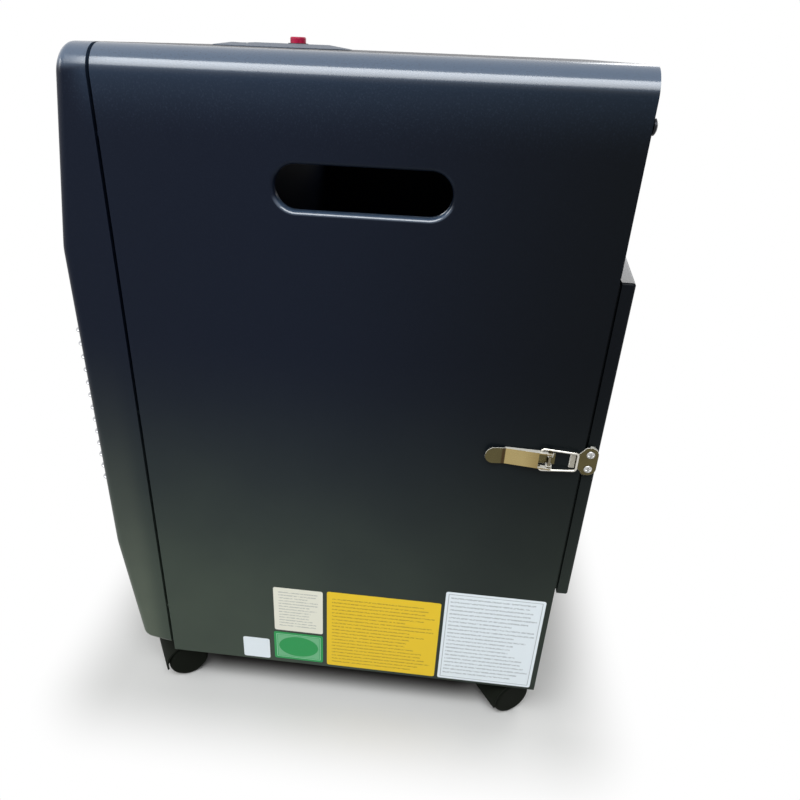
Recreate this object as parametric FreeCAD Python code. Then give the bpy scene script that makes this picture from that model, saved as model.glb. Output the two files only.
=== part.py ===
"""Portable gas cabinet heater on casters, as an assembly of separate pieces, in millimetres.

+X is the heater's right side, -Y its front and +Z up.
The origin lies on the floor, below the middle of the whole heater.
"""
import FreeCAD
import Part
import os
from math import cos, radians, sin, tan

V = FreeCAD.Vector

# Cabinet wrap: one sheet bent over both sides and the top
cabinet_width = 420.0
cabinet_depth = 454.0
cabinet_height = 680.0
sheet = 1.0
wrap_radius = 25.0
flange = 12.0

# Hand-hold slot in each side, with a rolled lip
grip_length = 154.0
grip_height = 38.5
grip_centre_height = 576.0
grip_setback = 227.0
grip_roll = 4.0
grip_return = 9.0

# Front fascia, its depths measured forward from the front edge of the wrap
seam_gap = 3.2
fascia_sheet = 1.2
fascia_depth = 54.5
fascia_top_depth = 29.0
fascia_foot_depth = 39.5
fascia_lift = 7.0
fascia_flat_base = 165.0
fascia_flat_height = 345.0
fascia_foot_rise = 8.0
fascia_foot_radius = 14.0
fascia_bend_radius = 60.0
fascia_edge_radius = 10.0
fascia_screw_inset = 70.0
fascia_boss_wall = 1.2

# Burner window in the fascia
window_width = 380.0
window_height = 212.0
window_base = 222.0
window_radius = 8.0
window_return = 6.0

# Wire guard in front of the window
wire_diameter = 3.2
wire_count = 13
wire_pitch = 15.0
guard_rod_diameter = 4.0
guard_proud = 16.0
guard_side_gap = 4.0
guard_tie_spacing = 130.0
guard_tie_overhang = 8.0
guard_rod_entry = 3.0
weld_sink = 0.5

# Rear cover and upper rear panel
cover_base = 154.0
cover_height = 358.0
cover_depth = 15.0
cover_bulge = 12.0
cover_flat_width = 200.0
cover_inset = 3.0
cover_gap = 3.2
cover_seat_gap = 0.3
cover_neck_inset = 4.0
cover_edge_radius = 2.5
tongue_height = 30.0
tongue_length = 10.0
tongue_inset = 40.0
tongue_clearance = 0.5
panel_gap = 3.0
panel_screw_drop = 43.0
panel_top_screw_drop = 8.0
panel_top_screw_spacing = 220.0
vent_length = 62.0
vent_width = 5.0
vent_rows = 5
vent_columns = 3
vent_row_pitch = 16.0
vent_column_pitch = 90.0

# Toggle latch, its heights measured outward from the side of the cabinet
latch_height = 331.5
latch_sheet = 1.0
latch_pivot_setback = 33.0
latch_pivot_height = 6.0
latch_pin_diameter = 3.0
latch_pin_head = 0.9
latch_pin_head_diameter = 4.8
latch_arm = 9.0
latch_over_centre = 9.0
lever_width = 17.6
lever_channel_length = 44.0
lever_root_gap = 0.6
lever_root_depth = 3.0
lever_tab_length = 20.5
lever_tab_angle = 7.0
lever_end_radius = 3.4
lever_web_gap = 2.0
bail_wire = 2.4
bail_width = 24.5
bail_nose_width = 19.6
bail_corner = 3.0
latch_gap = 0.4
base_length = 34.0
base_overhang = 6.0
rivet_diameter = 3.0
rivet_head_diameter = 5.0
rivet_head_height = 1.4
rivet_head_round = 0.8
rivet_spacing = 10.0
rivet_setback = 22.0

# Keeper on the side of the rear cover
keeper_sheet = 1.2
keeper_width = 31.0
keeper_shoulder = 4.0
keeper_round = 8.0
keeper_neck_lead = 4.6
keeper_neck_length = 6.6
keeper_hook_width = 15.0
keeper_hook_length = 5.6
keeper_hook_lead = 13.0
keeper_plate_margin = 0.6
keeper_screw_spacing = 16.3
keeper_screw_setback = 8.6

# Casters
wheel_diameter = 50.0
wheel_width = 22.0
wheel_gap = 0.6
tread_radius = 5.0
axle_diameter = 6.0
axle_end_cover = 3.0
web_thickness = 8.0
hood_gap = 1.5
hood_wall = 2.5
hood_skirt = 3.0
hood_floor_gap = 20.0
hub_radius = 9.0
boss_diameter = 21.0
boss_height = 5.0
stem_diameter = 11.0
stem_entry = 8.0
stem_length = 20.0
stem_round = 1.4
swivel_gap = 0.5
socket_diameter = 16.0
socket_flange_diameter = 24.0
socket_flange = 2.0
socket_end = 2.0
trail = 17.0
caster_heading = 32.0
caster_side_inset = 46.0
caster_front_setback = 11.0
caster_rear_setback = 20.0

# Base tray
tray_sheet = 1.2
tray_lift = 1.5
tray_rim = 22.0
tray_nose = 14.0
platform_width = 300.0
platform_depth = 290.0
platform_rise = 3.0
platform_radius = 20.0
platform_setback = 14.0

# Control bezel, knob and igniter on top
bezel_length = 148.0
bezel_width = 100.0
bezel_height = 4.2
bezel_rim = 1.0
bezel_slope_width = 24.0
bezel_setback = 112.0
bezel_wall = 1.8
well_radius = 24.0
well_depth = 18.0
well_offset = 30.0
knob_diameter = 40.0
knob_skirt = 5.0
knob_height = 12.0
knob_rise = 3.0
knob_bar = 11.0
knob_round = 2.0
igniter_offset = 17.0
button_diameter = 16.6
button_rise = 10.6
button_length = 22.0
button_round = 1.5
button_travel = 5.5
igniter_wall = 1.6
igniter_collar = 0.6
igniter_length = 36.0

# Gas valve
valve_width = 44.0
valve_depth = 40.0
valve_height = 36.0
valve_edge = 5.0
valve_neck_radius = 13.0
valve_neck = 7.0
valve_flange_radius = 21.0
valve_flange = 3.0
valve_screw_spacing = 32.0
rotor_radius = 7.0
rotor_length = 16.0
rotor_drop = 1.0
spindle_diameter = 8.0
spindle_flat = 1.2
knob_travel = 5.0
inlet_offset = 14.0
inlet_pipe_radius = 4.0
inlet_length = 80.0
hose_tail_radius = 5.0
hose_tail_length = 25.0
inlet_bore = 3.0
inlet_groove_pitch = 6.0
inlet_groove_width = 2.0
inlet_groove_depth = 0.8
inlet_groove_count = 3

# Burners behind the window
reflector_sheet = 1.0
reflector_depth = 36.0
reflector_flange = 8.0
reflector_margin_x = 10.0
reflector_margin_z = 14.0
burner_count = 3
burner_side_margin = 26.0
burner_gap = 26.0
plaque_height = 132.0
plaque_thickness = 13.0
plaque_border = 2.0
plenum_depth = 38.0
plenum_sheet = 1.2
plenum_flange = 6.0
plenum_corner = 6.0
venturi_length = 95.0
venturi_straight = 33.0
venturi_radius = 13.0
venturi_throat = 9.5
venturi_wall = 1.2
air_window = 14.0
injector_radius = 6.0
injector_length = 14.0
injector_nipple = 8.0
injector_nipple_radius = 3.5
pipe_diameter = 6.0
pipe_bend = 15.0
pipe_drop = 22.0

# Pilot group between the middle and right burners
pilot_radius = 4.0
pilot_wall = 1.0
pilot_reach = 22.0
pilot_drop = 40.0
pilot_spacing = 12.0
pilot_tail = 14.0
thermocouple_radius = 1.8
electrode_radius = 3.0
electrode_tip = 0.8
electrode_tip_length = 8.0
pilot_pipe_diameter = 4.0
lead_diameter = 3.0
line_bend = 8.0
line_spacing = 7.0
line_standoff = 9.0

# Partition in front of the cylinder bay
partition_setback = 125.0
partition_height = 590.0

# Fasteners and fits; the round is a share of a head's height
screw_diameter = 4.0
screw_head_diameter = 8.0
screw_head_height = 2.2
washer_head_diameter = 13.0
washer_head_height = 3.5
screw_length = 8.0
screw_head_round = 0.45
hole_clearance = 0.2
wide_clearance = 1.0
running_clearance = 0.05
press_clearance = 0.02

# Places worked out from the sizes above
guard_reach = fascia_depth + guard_proud
whole_depth = guard_reach + cabinet_depth + cover_depth + cover_bulge
seam_y = guard_reach - whole_depth / 2
rear_y = seam_y + cabinet_depth
rim_y = seam_y - seam_gap
face_y = seam_y - fascia_depth
side_x = cabinet_width / 2

axle_z = wheel_diameter / 2
wheel_space = wheel_diameter / 2 + hood_gap
hood_radius = wheel_space + hood_wall
boss_top = axle_z + hood_radius + boss_height
tray_base = boss_top + swivel_gap + socket_flange
tray_floor = tray_base + tray_sheet
panel_base = tray_base - tray_lift
panel_top = panel_base + cabinet_height

window_mid_z = panel_base + window_base + window_height / 2
cover_z = panel_base + cover_base
cover_top = cover_z + cover_height
cover_side_x = side_x - cover_inset
cover_front = rear_y + cover_gap
tongue_x = cover_side_x - cover_neck_inset
latch_z = panel_base + latch_height
pivot_y = rear_y - latch_pivot_setback
pivot_x = side_x + latch_pivot_height
bail_y = pivot_y - latch_arm * cos(radians(latch_over_centre))
bail_x = pivot_x - latch_arm * sin(radians(latch_over_centre))
keeper_screw_y = rear_y + cover_depth - keeper_screw_setback
keeper_top_x = side_x + latch_gap + keeper_sheet
hook_front = rear_y - keeper_hook_lead
hook_back = hook_front + keeper_hook_length
nose_y = hook_back + latch_gap + bail_wire / 2

bezel_y = seam_y + bezel_setback
knob_y = bezel_y - well_offset
igniter_y = bezel_y + igniter_offset
well_floor = panel_top - well_depth
valve_top = well_floor - bezel_wall
valve_body_top = valve_top - valve_flange - valve_neck
valve_body_base = valve_body_top - valve_height
valve_mid = valve_body_top - valve_height / 2

burner_pitch = (window_width - 2 * burner_side_margin + burner_gap) / burner_count
plaque_width = burner_pitch - burner_gap
reflector_y = face_y + window_return
plate_y = reflector_y + reflector_depth
plenum_half_x = plaque_width / 2 + hole_clearance + plenum_sheet
plenum_half_z = plaque_height / 2 + hole_clearance + plenum_sheet
venturi_y = plate_y + plenum_depth / 2
venturi_base = window_mid_z - plenum_half_z - venturi_length
injector_base = venturi_base - injector_length
pilot_x = burner_pitch / 2
partition_y = seam_y + partition_setback


def box(x0, x1, y0, y1, z0, z1):
    """Block between two corners."""
    return Part.makeBox(x1 - x0, y1 - y0, z1 - z0, V(x0, y0, z0))


def rod(start, end, radius):
    """Round bar between two points."""
    return Part.makeCylinder(radius, (end - start).Length, start, end - start)


def upright(x, y, z0, z1, radius):
    """Round bar standing along Z."""
    return rod(V(x, y, z0), V(x, y, z1), radius)


def merge(shapes):
    """One solid out of several that meet."""
    return shapes[0].multiFuse(shapes[1:]).removeSplitter()


def mirrored(shape):
    """The same piece on the left side."""
    return shape.mirror(V(0, 0, 0), V(1, 0, 0))


def corner_arc(before, corner, after, radius):
    """Start, middle and end of the arc that rounds a corner."""
    to_before = (before - corner).normalize()
    to_after = (after - corner).normalize()
    half_angle = to_before.getAngle(to_after) / 2
    inward = (to_before + to_after).normalize()
    reach = radius / tan(half_angle)
    centre = corner + inward * (radius / sin(half_angle))
    return corner + to_before * reach, centre - inward * radius, corner + to_after * reach


def rounded_edges(corners, closed):
    """Lines and tangent arcs through (point, radius) corners."""
    stops = []
    count = len(corners)
    for i, (point, radius) in enumerate(corners):
        inner = closed or 0 < i < count - 1
        if inner and radius > 0:
            stops.append(corner_arc(corners[i - 1][0], point, corners[(i + 1) % count][0], radius))
        else:
            stops.append((point,))
    edges = []
    for i, stop in enumerate(stops):
        if len(stop) == 3:
            edges.append(Part.Arc(*stop).toShape())
        if closed or i < count - 1:
            edges.append(Part.makeLine(stop[-1], stops[(i + 1) % count][0]))
    return edges


def rounded_face(corners):
    """Flat face bounded by (point, radius) corners."""
    return Part.Face(Part.Wire(rounded_edges(corners, True)))


def bent_tube(points, bend, radius):
    """Solid round tube along straight runs joined by arcs of one radius."""
    path = Part.Wire(rounded_edges([(point, bend) for point in points], False))
    circle = Part.Wire(Part.makeCircle(radius, points[0], points[1] - points[0]))
    return path.makePipeShell([circle], True, False)


def round_rear(block, radius):
    """The block with the edges of its rear face rounded."""
    back = block.BoundBox.YMax
    return block.makeFillet(radius, [edge for edge in block.Edges if edge.BoundBox.YMin > back - 1e-6])


def round_top(block, radius):
    """The block with the edges of its top face rounded."""
    top = block.BoundBox.ZMax
    return block.makeFillet(radius, [edge for edge in block.Edges if edge.BoundBox.ZMin > top - 1e-6])


def rectangle(half_x, half_z, y, mid_z, radius):
    """Rounded rectangle facing the front, as corners for rounded_face."""
    signs = [(-1, -1), (1, -1), (1, 1), (-1, 1)]
    return [(V(sx * half_x, y, mid_z + sz * half_z), radius) for sx, sz in signs]


def screw(seat, out, head_diameter, head_height):
    """Screw whose head stands on the point seat and points along out."""
    head = rod(seat, seat + out * head_height, head_diameter / 2)
    head = head.makeFillet(head_height * screw_head_round, [head.Edges[0]])
    shank = rod(seat - out * screw_length, seat, screw_diameter / 2)
    return head.fuse(shank)


def screw_hole(seat, out):
    """Clearance hole through the sheets under a screw's head."""
    reach = screw_length + sheet
    return rod(seat - out * reach, seat + out * sheet, screw_diameter / 2 + hole_clearance)


def fascia_boss_radius():
    """Outer radius of the bosses that take the fascia's screws."""
    return screw_diameter / 2 + fascia_boss_wall


def fascia_screw_seats():
    """Places on the back of the wrap's front flange where screws hold the fascia."""
    x = side_x - flange / 2 - sheet
    low = panel_base + fascia_screw_inset
    high = panel_top - fascia_screw_inset
    heights = [low, (low + high) / 2, high]
    return [V(sx * x, seam_y + sheet, z) for sx in (-1, 1) for z in heights]


def panel_screw_seats():
    """Places on the upper rear panel where screws hold it to the wrap's rear flange."""
    y = rear_y + sheet
    side = V(side_x - flange / 2, y, panel_top - panel_screw_drop)
    top = V(panel_top_screw_spacing / 2, y, panel_top - panel_top_screw_drop)
    return [V(sx * seat.x, y, seat.z) for sx in (-1, 1) for seat in (side, top)]


def rivet_seats():
    """Places on the right latch base where rivets hold it to the side."""
    x = side_x + latch_sheet
    y = pivot_y - rivet_setback
    return [V(x, y + i * rivet_spacing, latch_z) for i in (0, 1)]


def wrap_section(inset, y, base):
    """Filled outline of the wrap seen from the front, moved in by inset."""
    half = side_x - inset
    top = panel_top - inset
    corner = max(wrap_radius - inset, sheet)
    return rounded_face([
        (V(-half, y, base), 0),
        (V(half, y, base), 0),
        (V(half, y, top), corner),
        (V(-half, y, top), corner),
    ])


def wrap_ring(inset, y, depth):
    """U-shaped band of the wrap, inset wide and depth deep."""
    below = panel_base - sheet
    outer = wrap_section(0, y, panel_base).extrude(V(0, depth, 0))
    inner = wrap_section(inset, y - sheet, below).extrude(V(0, depth + 2 * sheet, 0))
    return outer.cut(inner)


def stadium(x, grow, depth):
    """Slot-shaped block on the right side, from x inward, grown all round."""
    radius = grip_height / 2 + grow
    half = grip_length / 2 - grip_height / 2
    y = seam_y + grip_setback
    z = panel_base + grip_centre_height
    middle = box(x - depth, x, y - half, y + half, z - radius, z + radius)
    ends = [rod(V(x - depth, end, z), V(x, end, z), radius) for end in (y - half, y + half)]
    return merge([middle] + ends)


def grip_lip():
    """Sheet rolled inward all round the right hand-hold slot."""
    y = seam_y + grip_setback
    z = panel_base + grip_centre_height
    half = grip_length / 2 - grip_height / 2
    edge_z = z - grip_height / 2
    bend_x = side_x - grip_roll
    bend_z = edge_z - grip_roll
    inner = grip_roll - sheet
    slant = cos(radians(45))

    def at(x, height):
        """Point of the lip's section, under the rear end of the slot's lower edge."""
        return V(x, y + half, height)

    skin = Part.Arc(at(side_x, bend_z), at(bend_x + grip_roll * slant, bend_z + grip_roll * slant),
                    at(bend_x, edge_z))
    back = Part.Arc(at(bend_x, edge_z - sheet), at(bend_x + inner * slant, bend_z + inner * slant),
                    at(side_x - sheet, bend_z))
    tip = side_x - grip_return
    section = Part.Face(Part.Wire([
        skin.toShape(),
        Part.makeLine(at(bend_x, edge_z), at(tip, edge_z)),
        Part.makeLine(at(tip, edge_z), at(tip, edge_z - sheet)),
        Part.makeLine(at(tip, edge_z - sheet), at(bend_x, edge_z - sheet)),
        back.toShape(),
        Part.makeLine(at(side_x - sheet, bend_z), at(side_x, bend_z)),
    ]))
    lower = section.extrude(V(0, -2 * half, 0))
    end = section.revolve(V(0, y + half, z), V(1, 0, 0), 180)
    upper = lower.mirror(V(0, y, z), V(0, 0, 1))
    return merge([lower, end, upper, end.mirror(V(0, y, z), V(0, 1, 0))])


def tongue_z():
    """Middle heights of the rear cover's tongues."""
    return [cover_z + tongue_inset, cover_top - tongue_inset]


def make_cabinet_wrap():
    shell = wrap_ring(sheet, seam_y, cabinet_depth)
    front = wrap_ring(flange, seam_y, sheet)
    rear = wrap_ring(flange, rear_y - sheet, sheet)
    wrap = merge([shell, front, rear])
    opening = stadium(side_x + sheet, grip_roll, 3 * sheet)
    wrap = wrap.cut([opening, mirrored(opening)])
    lip = grip_lip()
    wrap = merge([wrap, lip, mirrored(lip)])

    below = panel_top - 2 * sheet
    above = panel_top + sheet
    holes = [
        upright(0, knob_y, below, above, well_radius + bezel_wall + wide_clearance),
        upright(0, igniter_y, below, above, barrel_radius() + hole_clearance),
    ]
    for seat in fascia_screw_seats():
        holes.append(screw_hole(seat, V(0, 1, 0)))
    for seat in panel_screw_seats():
        holes.append(screw_hole(seat, V(0, 1, 0)))
    for seat in rivet_seats():
        hole = rod(seat - V(4 * sheet, 0, 0), seat, rivet_diameter / 2 + press_clearance)
        holes += [hole, mirrored(hole)]
    for z in tongue_z():
        half = tongue_height / 2 + tongue_clearance
        slot = box(tongue_x - sheet - tongue_clearance, tongue_x + tongue_clearance,
                   rear_y - 2 * sheet, rear_y + sheet, z - half, z + half)
        holes += [slot, mirrored(slot)]
    return wrap.cut(holes)


def fascia_block(inset):
    """Filled fascia, with its walls moved in by inset."""
    base = panel_base + fascia_lift
    flat = base - fascia_lift + fascia_flat_base
    half = side_x - inset
    profile = rounded_face([
        (V(-half, rim_y, base), 0),
        (V(-half, seam_y - fascia_foot_depth, base + fascia_foot_rise), fascia_foot_radius),
        (V(-half, face_y, flat), fascia_bend_radius),
        (V(-half, face_y, flat + fascia_flat_height), fascia_bend_radius),
        (V(-half, seam_y - fascia_top_depth, panel_top), 0),
        (V(-half, rim_y, panel_top), 0),
    ])
    if inset > 0:
        profile = profile.makeOffset2D(-inset)
    block = profile.extrude(V(2 * half, 0, 0))
    outline = wrap_section(inset, face_y - sheet, panel_base)
    block = block.common(outline.extrude(V(0, rim_y - face_y + sheet, 0)))
    back = rim_y - inset
    edges = []
    for edge in block.Edges:
        bounds = edge.BoundBox
        on_back = bounds.YMin > back - 1e-4
        level = bounds.ZLength < 1e-4
        bend = level and bounds.YLength < 1e-4 and bounds.ZMax < panel_top - inset - 1e-4
        along = level and bounds.XLength < 1e-4
        if not on_back and not bend and not along:
            edges.append(edge)
    return block.makeFillet(fascia_edge_radius - inset, edges)


def make_front_fascia():
    fascia = fascia_block(0).cut(fascia_block(fascia_sheet))
    window_half = window_width / 2
    window_rise = window_height / 2
    frame = rounded_face(rectangle(window_half + fascia_sheet, window_rise + fascia_sheet, face_y,
                                   window_mid_z, window_radius + fascia_sheet))
    opening = rounded_face(rectangle(window_half, window_rise, face_y, window_mid_z, window_radius))
    back_half = side_x - flange
    back_low = panel_base + fascia_lift + flange
    back_opening = box(-back_half, back_half, rim_y - 2 * fascia_sheet, rim_y + fascia_sheet,
                       back_low, panel_top - flange)
    fascia = fascia.cut(back_opening)
    bosses = []
    for seat in fascia_screw_seats():
        start = V(seat.x, rim_y - fascia_sheet / 2, seat.z)
        bosses.append(rod(start, V(seat.x, seam_y, seat.z), fascia_boss_radius()))
    fascia = merge([fascia, frame.extrude(V(0, window_return, 0))] + bosses)

    cuts = [opening.extrude(V(0, window_return, 0))]
    cuts += [rod(seat - V(0, 2 * screw_length, 0), seat, screw_diameter / 2 + press_clearance)
             for seat in fascia_screw_seats()]
    for x in (-guard_half(), guard_half()):
        entry = window_rise + guard_rod_entry + 1
        cuts.append(upright(x, guard_rod_y(), window_mid_z - entry, window_mid_z + entry,
                            guard_rod_diameter / 2 + running_clearance))
    return fascia.cut(cuts)


def guard_half():
    """Half the distance between the guard's side rods."""
    return window_width / 2 - guard_side_gap - guard_rod_diameter / 2


def guard_rod_y():
    """Depth of the side rods, inside the window's return."""
    return face_y + window_return / 2


def make_wire_guard():
    wire_y = face_y - guard_proud + wire_diameter / 2
    half = guard_half()
    reach = window_height / 2 + guard_rod_entry
    rod_radius = guard_rod_diameter / 2
    bars = [upright(x, guard_rod_y(), window_mid_z - reach, window_mid_z + reach, rod_radius)
            for x in (-half, half)]
    first = window_mid_z - wire_pitch * (wire_count - 1) / 2
    last = first + wire_pitch * (wire_count - 1)
    tie_y = wire_y + wire_diameter / 2 + rod_radius - weld_sink
    bars += [upright(x, tie_y, first - guard_tie_overhang, last + guard_tie_overhang, rod_radius)
             for x in (-guard_tie_spacing / 2, guard_tie_spacing / 2)]
    for i in range(wire_count):
        z = first + i * wire_pitch
        route = [
            V(-half, guard_rod_y(), z),
            V(-half, wire_y, z),
            V(half, wire_y, z),
            V(half, guard_rod_y(), z),
        ]
        path = Part.makePolygon(route)
        circle = Part.Wire(Part.makeCircle(wire_diameter / 2, route[0], V(0, 1, 0)))
        bars.append(path.makePipeShell([circle], True, False, 1))
    return merge(bars)


def cover_block(inset):
    """Filled rear cover, bulged towards its middle, with its walls moved in by inset."""
    front = cover_front - inset
    back = rear_y + cover_depth - inset
    half = cover_side_x - inset
    flat = cover_flat_width / 2
    slope = cover_bulge / (cover_side_x - flat)
    low = cover_z + inset
    block = rounded_face([
        (V(-half, front, low), 0),
        (V(half, front, low), 0),
        (V(half, back + slope * inset, low), 0),
        (V(flat, back + cover_bulge, low), 0),
        (V(-flat, back + cover_bulge, low), 0),
        (V(-half, back + slope * inset, low), 0),
    ]).extrude(V(0, 0, cover_height - 2 * inset))
    edges = []
    for edge in block.Edges:
        bounds = edge.BoundBox
        on_front = bounds.YMax < front + 1e-6
        fold = bounds.XMax - bounds.XMin < 1e-6 and abs(abs(bounds.XMax) - flat) < 1e-6
        if not on_front and not fold:
            edges.append(edge)
    return block.makeFillet(cover_edge_radius - inset, edges)


def cover_frame(inset, width, front, back):
    """Square frame inside the cover's outline."""
    half = cover_side_x - inset
    low = cover_z + inset
    high = cover_top - inset
    inner = half - width
    outer = box(-half, half, front, back, low, high)
    return outer.cut(box(-inner, inner, front, back, low + width, high - width))


def make_rear_cover():
    filled = cover_block(0)
    cover = filled.cut(cover_block(sheet))

    # The edge steps inward to a neck that sits on the cabinet's rear flange.
    step = cover_frame(0, cover_neck_inset + sheet, cover_front, cover_front + sheet).common(filled)
    neck = cover_frame(cover_neck_inset, sheet, rear_y + cover_seat_gap, cover_front + sheet)
    tongues = []
    for z in tongue_z():
        tongue = box(tongue_x - sheet, tongue_x, rear_y + cover_seat_gap - tongue_length, cover_front,
                     z - tongue_height / 2, z + tongue_height / 2)
        tongues += [tongue, mirrored(tongue)]
    cover = merge([cover, step, neck] + tongues)
    holes = []
    for seat in keeper_screw_seats():
        hole = rod(seat - V(screw_length, 0, 0), seat, screw_diameter / 2 + press_clearance)
        holes += [hole, mirrored(hole)]
    return cover.cut(holes)


def make_rear_upper_panel():
    base = cover_top + panel_gap
    half = cover_side_x
    top = panel_top - cover_inset
    corner = max(wrap_radius - cover_inset, sheet)
    plate = rounded_face([
        (V(-half, rear_y, base), 0),
        (V(half, rear_y, base), 0),
        (V(half, rear_y, top), corner),
        (V(-half, rear_y, top), corner),
    ]).extrude(V(0, sheet, 0))
    mid_z = (base + top) / 2
    cuts = []
    for row in range(vent_rows):
        for column in range(vent_columns):
            x = (column - (vent_columns - 1) / 2) * vent_column_pitch
            z = mid_z + (row - (vent_rows - 1) / 2) * vent_row_pitch
            radius = vent_width / 2
            reach = vent_length / 2 - radius
            front = rear_y - sheet
            back = rear_y + 2 * sheet
            cuts.append(box(x - reach, x + reach, front, back, z - radius, z + radius))
            for end in (x - reach, x + reach):
                cuts.append(rod(V(end, front, z), V(end, back, z), radius))
    for seat in panel_screw_seats():
        cuts.append(screw_hole(seat, V(0, 1, 0)))
    return plate.cut(cuts)


def make_base_tray():
    side = side_x - sheet
    front = seam_y + sheet
    back = rear_y - sheet
    pan = box(-side, side, front, back, tray_base, tray_base + tray_rim)
    hollow = box(-side + tray_sheet, side - tray_sheet, front + tray_sheet, back - tray_sheet,
                 tray_floor, tray_base + 2 * tray_rim)
    nose_side = side_x - flange - wide_clearance
    nose = box(-nose_side, nose_side, seam_y - tray_nose, front + tray_sheet, tray_base, tray_floor)
    tray = merge([pan.cut(hollow), nose, platform(0, tray_floor)])
    holes = [upright(x, y, tray_base - 1, tray_floor + 1, socket_diameter / 2 + press_clearance)
             for x, y in caster_places().values()]
    return tray.cut(holes + [platform(tray_sheet, tray_base)])


def platform(inset, base):
    """Block under the gas cylinder, from base up to the raised floor."""
    half = platform_width / 2 - inset
    front = partition_y + platform_setback + inset
    back = partition_y + platform_setback + platform_depth - inset
    corner = platform_radius - inset
    return rounded_face([
        (V(-half, front, base), corner),
        (V(half, front, base), corner),
        (V(half, back, base), corner),
        (V(-half, back, base), corner),
    ]).extrude(V(0, 0, tray_floor + platform_rise - inset - base))


def make_partition():
    side = side_x - sheet
    top = tray_floor + partition_height
    plate = box(-side, side, partition_y - flange, partition_y, tray_floor, top)
    front_space = box(-side + sheet, side - sheet, partition_y - 2 * flange, partition_y - sheet,
                      tray_floor + sheet, top + sheet)
    rim_space = box(-side - sheet, -side + tray_sheet + hole_clearance, partition_y - 2 * flange,
                    partition_y + sheet, tray_floor - sheet, tray_base + tray_rim + hole_clearance)
    return plate.cut([front_space, rim_space, mirrored(rim_space)])


def burner_x(index):
    """Sideways place of one burner."""
    return (index - (burner_count - 1) / 2) * burner_pitch


def make_reflector_frame():
    front_x = window_width / 2
    front_z = window_height / 2
    back_x = burner_x(burner_count - 1) + plaque_width / 2 + reflector_margin_x
    back_z = plaque_height / 2 + reflector_margin_z
    gap = reflector_sheet

    def tub(grow, y0, y1):
        """Flared block between the window and the burner plate."""
        wires = []
        for y, half_x, half_z in ((y0, front_x, front_z), (y1, back_x, back_z)):
            wires.append(Part.makePolygon([
                V(-half_x - grow, y, window_mid_z - half_z - grow),
                V(half_x + grow, y, window_mid_z - half_z - grow),
                V(half_x + grow, y, window_mid_z + half_z + grow),
                V(-half_x - grow, y, window_mid_z + half_z + grow),
                V(-half_x - grow, y, window_mid_z - half_z - grow),
            ]))
        return Part.makeLoft(wires, True, True)

    lip_x = front_x + reflector_flange
    lip_z = front_z + reflector_flange
    lip = box(-lip_x, lip_x, reflector_y, reflector_y + gap, window_mid_z - lip_z, window_mid_z + lip_z)
    frame = merge([tub(gap, reflector_y, plate_y), lip]).cut(tub(0, reflector_y, plate_y - gap))
    mouth = box(-front_x, front_x, reflector_y - gap, reflector_y,
                window_mid_z - front_z, window_mid_z + front_z)
    cuts = [mouth]
    half_z = plaque_height / 2 - plaque_border
    for i in range(burner_count):
        half_x = plaque_width / 2 - plaque_border
        cuts.append(box(burner_x(i) - half_x, burner_x(i) + half_x, plate_y - 2 * gap, plate_y + gap,
                        window_mid_z - half_z, window_mid_z + half_z))
    for z, radius in pilot_places():
        front = V(pilot_x, plate_y - 2 * gap, z)
        cuts.append(rod(front, V(pilot_x, plate_y + gap, z), radius + running_clearance))
    return frame.cut(cuts)


def make_burner_plenum(index):
    x = burner_x(index)
    back = plate_y + plenum_depth
    z0 = window_mid_z - plenum_half_z
    z1 = window_mid_z + plenum_half_z
    half = plenum_half_x
    can = round_rear(box(x - half, x + half, plate_y, back, z0, z1), plenum_corner)
    lip_half = half + plenum_flange
    lip = box(x - lip_half, x + lip_half, plate_y, plate_y + plenum_sheet,
              z0 - plenum_flange, z1 + plenum_flange)
    inner_half = half - plenum_sheet
    hollow = box(x - inner_half, x + inner_half, plate_y - plenum_sheet, back - plenum_sheet,
                 z0 + plenum_sheet, z1 - plenum_sheet)
    hollow = round_rear(hollow, plenum_corner - plenum_sheet)
    window_z = venturi_base + injector_nipple
    windows = box(x - 2 * venturi_radius, x + 2 * venturi_radius, venturi_y - air_window / 2,
                  venturi_y + air_window / 2, window_z, window_z + air_window)
    nipple = upright(x, venturi_y, venturi_base - venturi_wall, venturi_base + injector_nipple,
                     injector_nipple_radius + press_clearance)
    bore = venturi(x, z0 + plenum_sheet, venturi_wall)
    return merge([can, lip, venturi(x, z0, 0)]).cut([hollow, bore, windows, nipple])


def venturi(x, top, wall):
    """Mixing tube under a burner, turned about its own axis, with its walls moved in by wall."""
    foot = venturi_base + wall
    throat = venturi_base + venturi_length / 2
    wide = venturi_radius - wall
    narrow = venturi_throat - wall
    outline = [
        V(x, venturi_y, foot),
        V(x + wide, venturi_y, foot),
        V(x + wide, venturi_y, foot + venturi_straight),
        V(x + narrow, venturi_y, throat),
        V(x + wide, venturi_y, top + plenum_sheet),
        V(x, venturi_y, top + plenum_sheet),
        V(x, venturi_y, foot),
    ]
    return Part.Face(Part.makePolygon(outline)).revolve(V(x, venturi_y, 0), V(0, 0, 1), 360)


def make_ceramic_plaque(index):
    x = burner_x(index)
    half_x = plaque_width / 2
    half_z = plaque_height / 2
    plaque = box(x - half_x, x + half_x, plate_y, plate_y + plaque_thickness,
                 window_mid_z - half_z, window_mid_z + half_z)
    edges = [edge for edge in plaque.Edges if edge.BoundBox.YMax - edge.BoundBox.YMin > plaque_thickness / 2]
    return plaque.makeFillet(plaque_border, edges)


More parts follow.
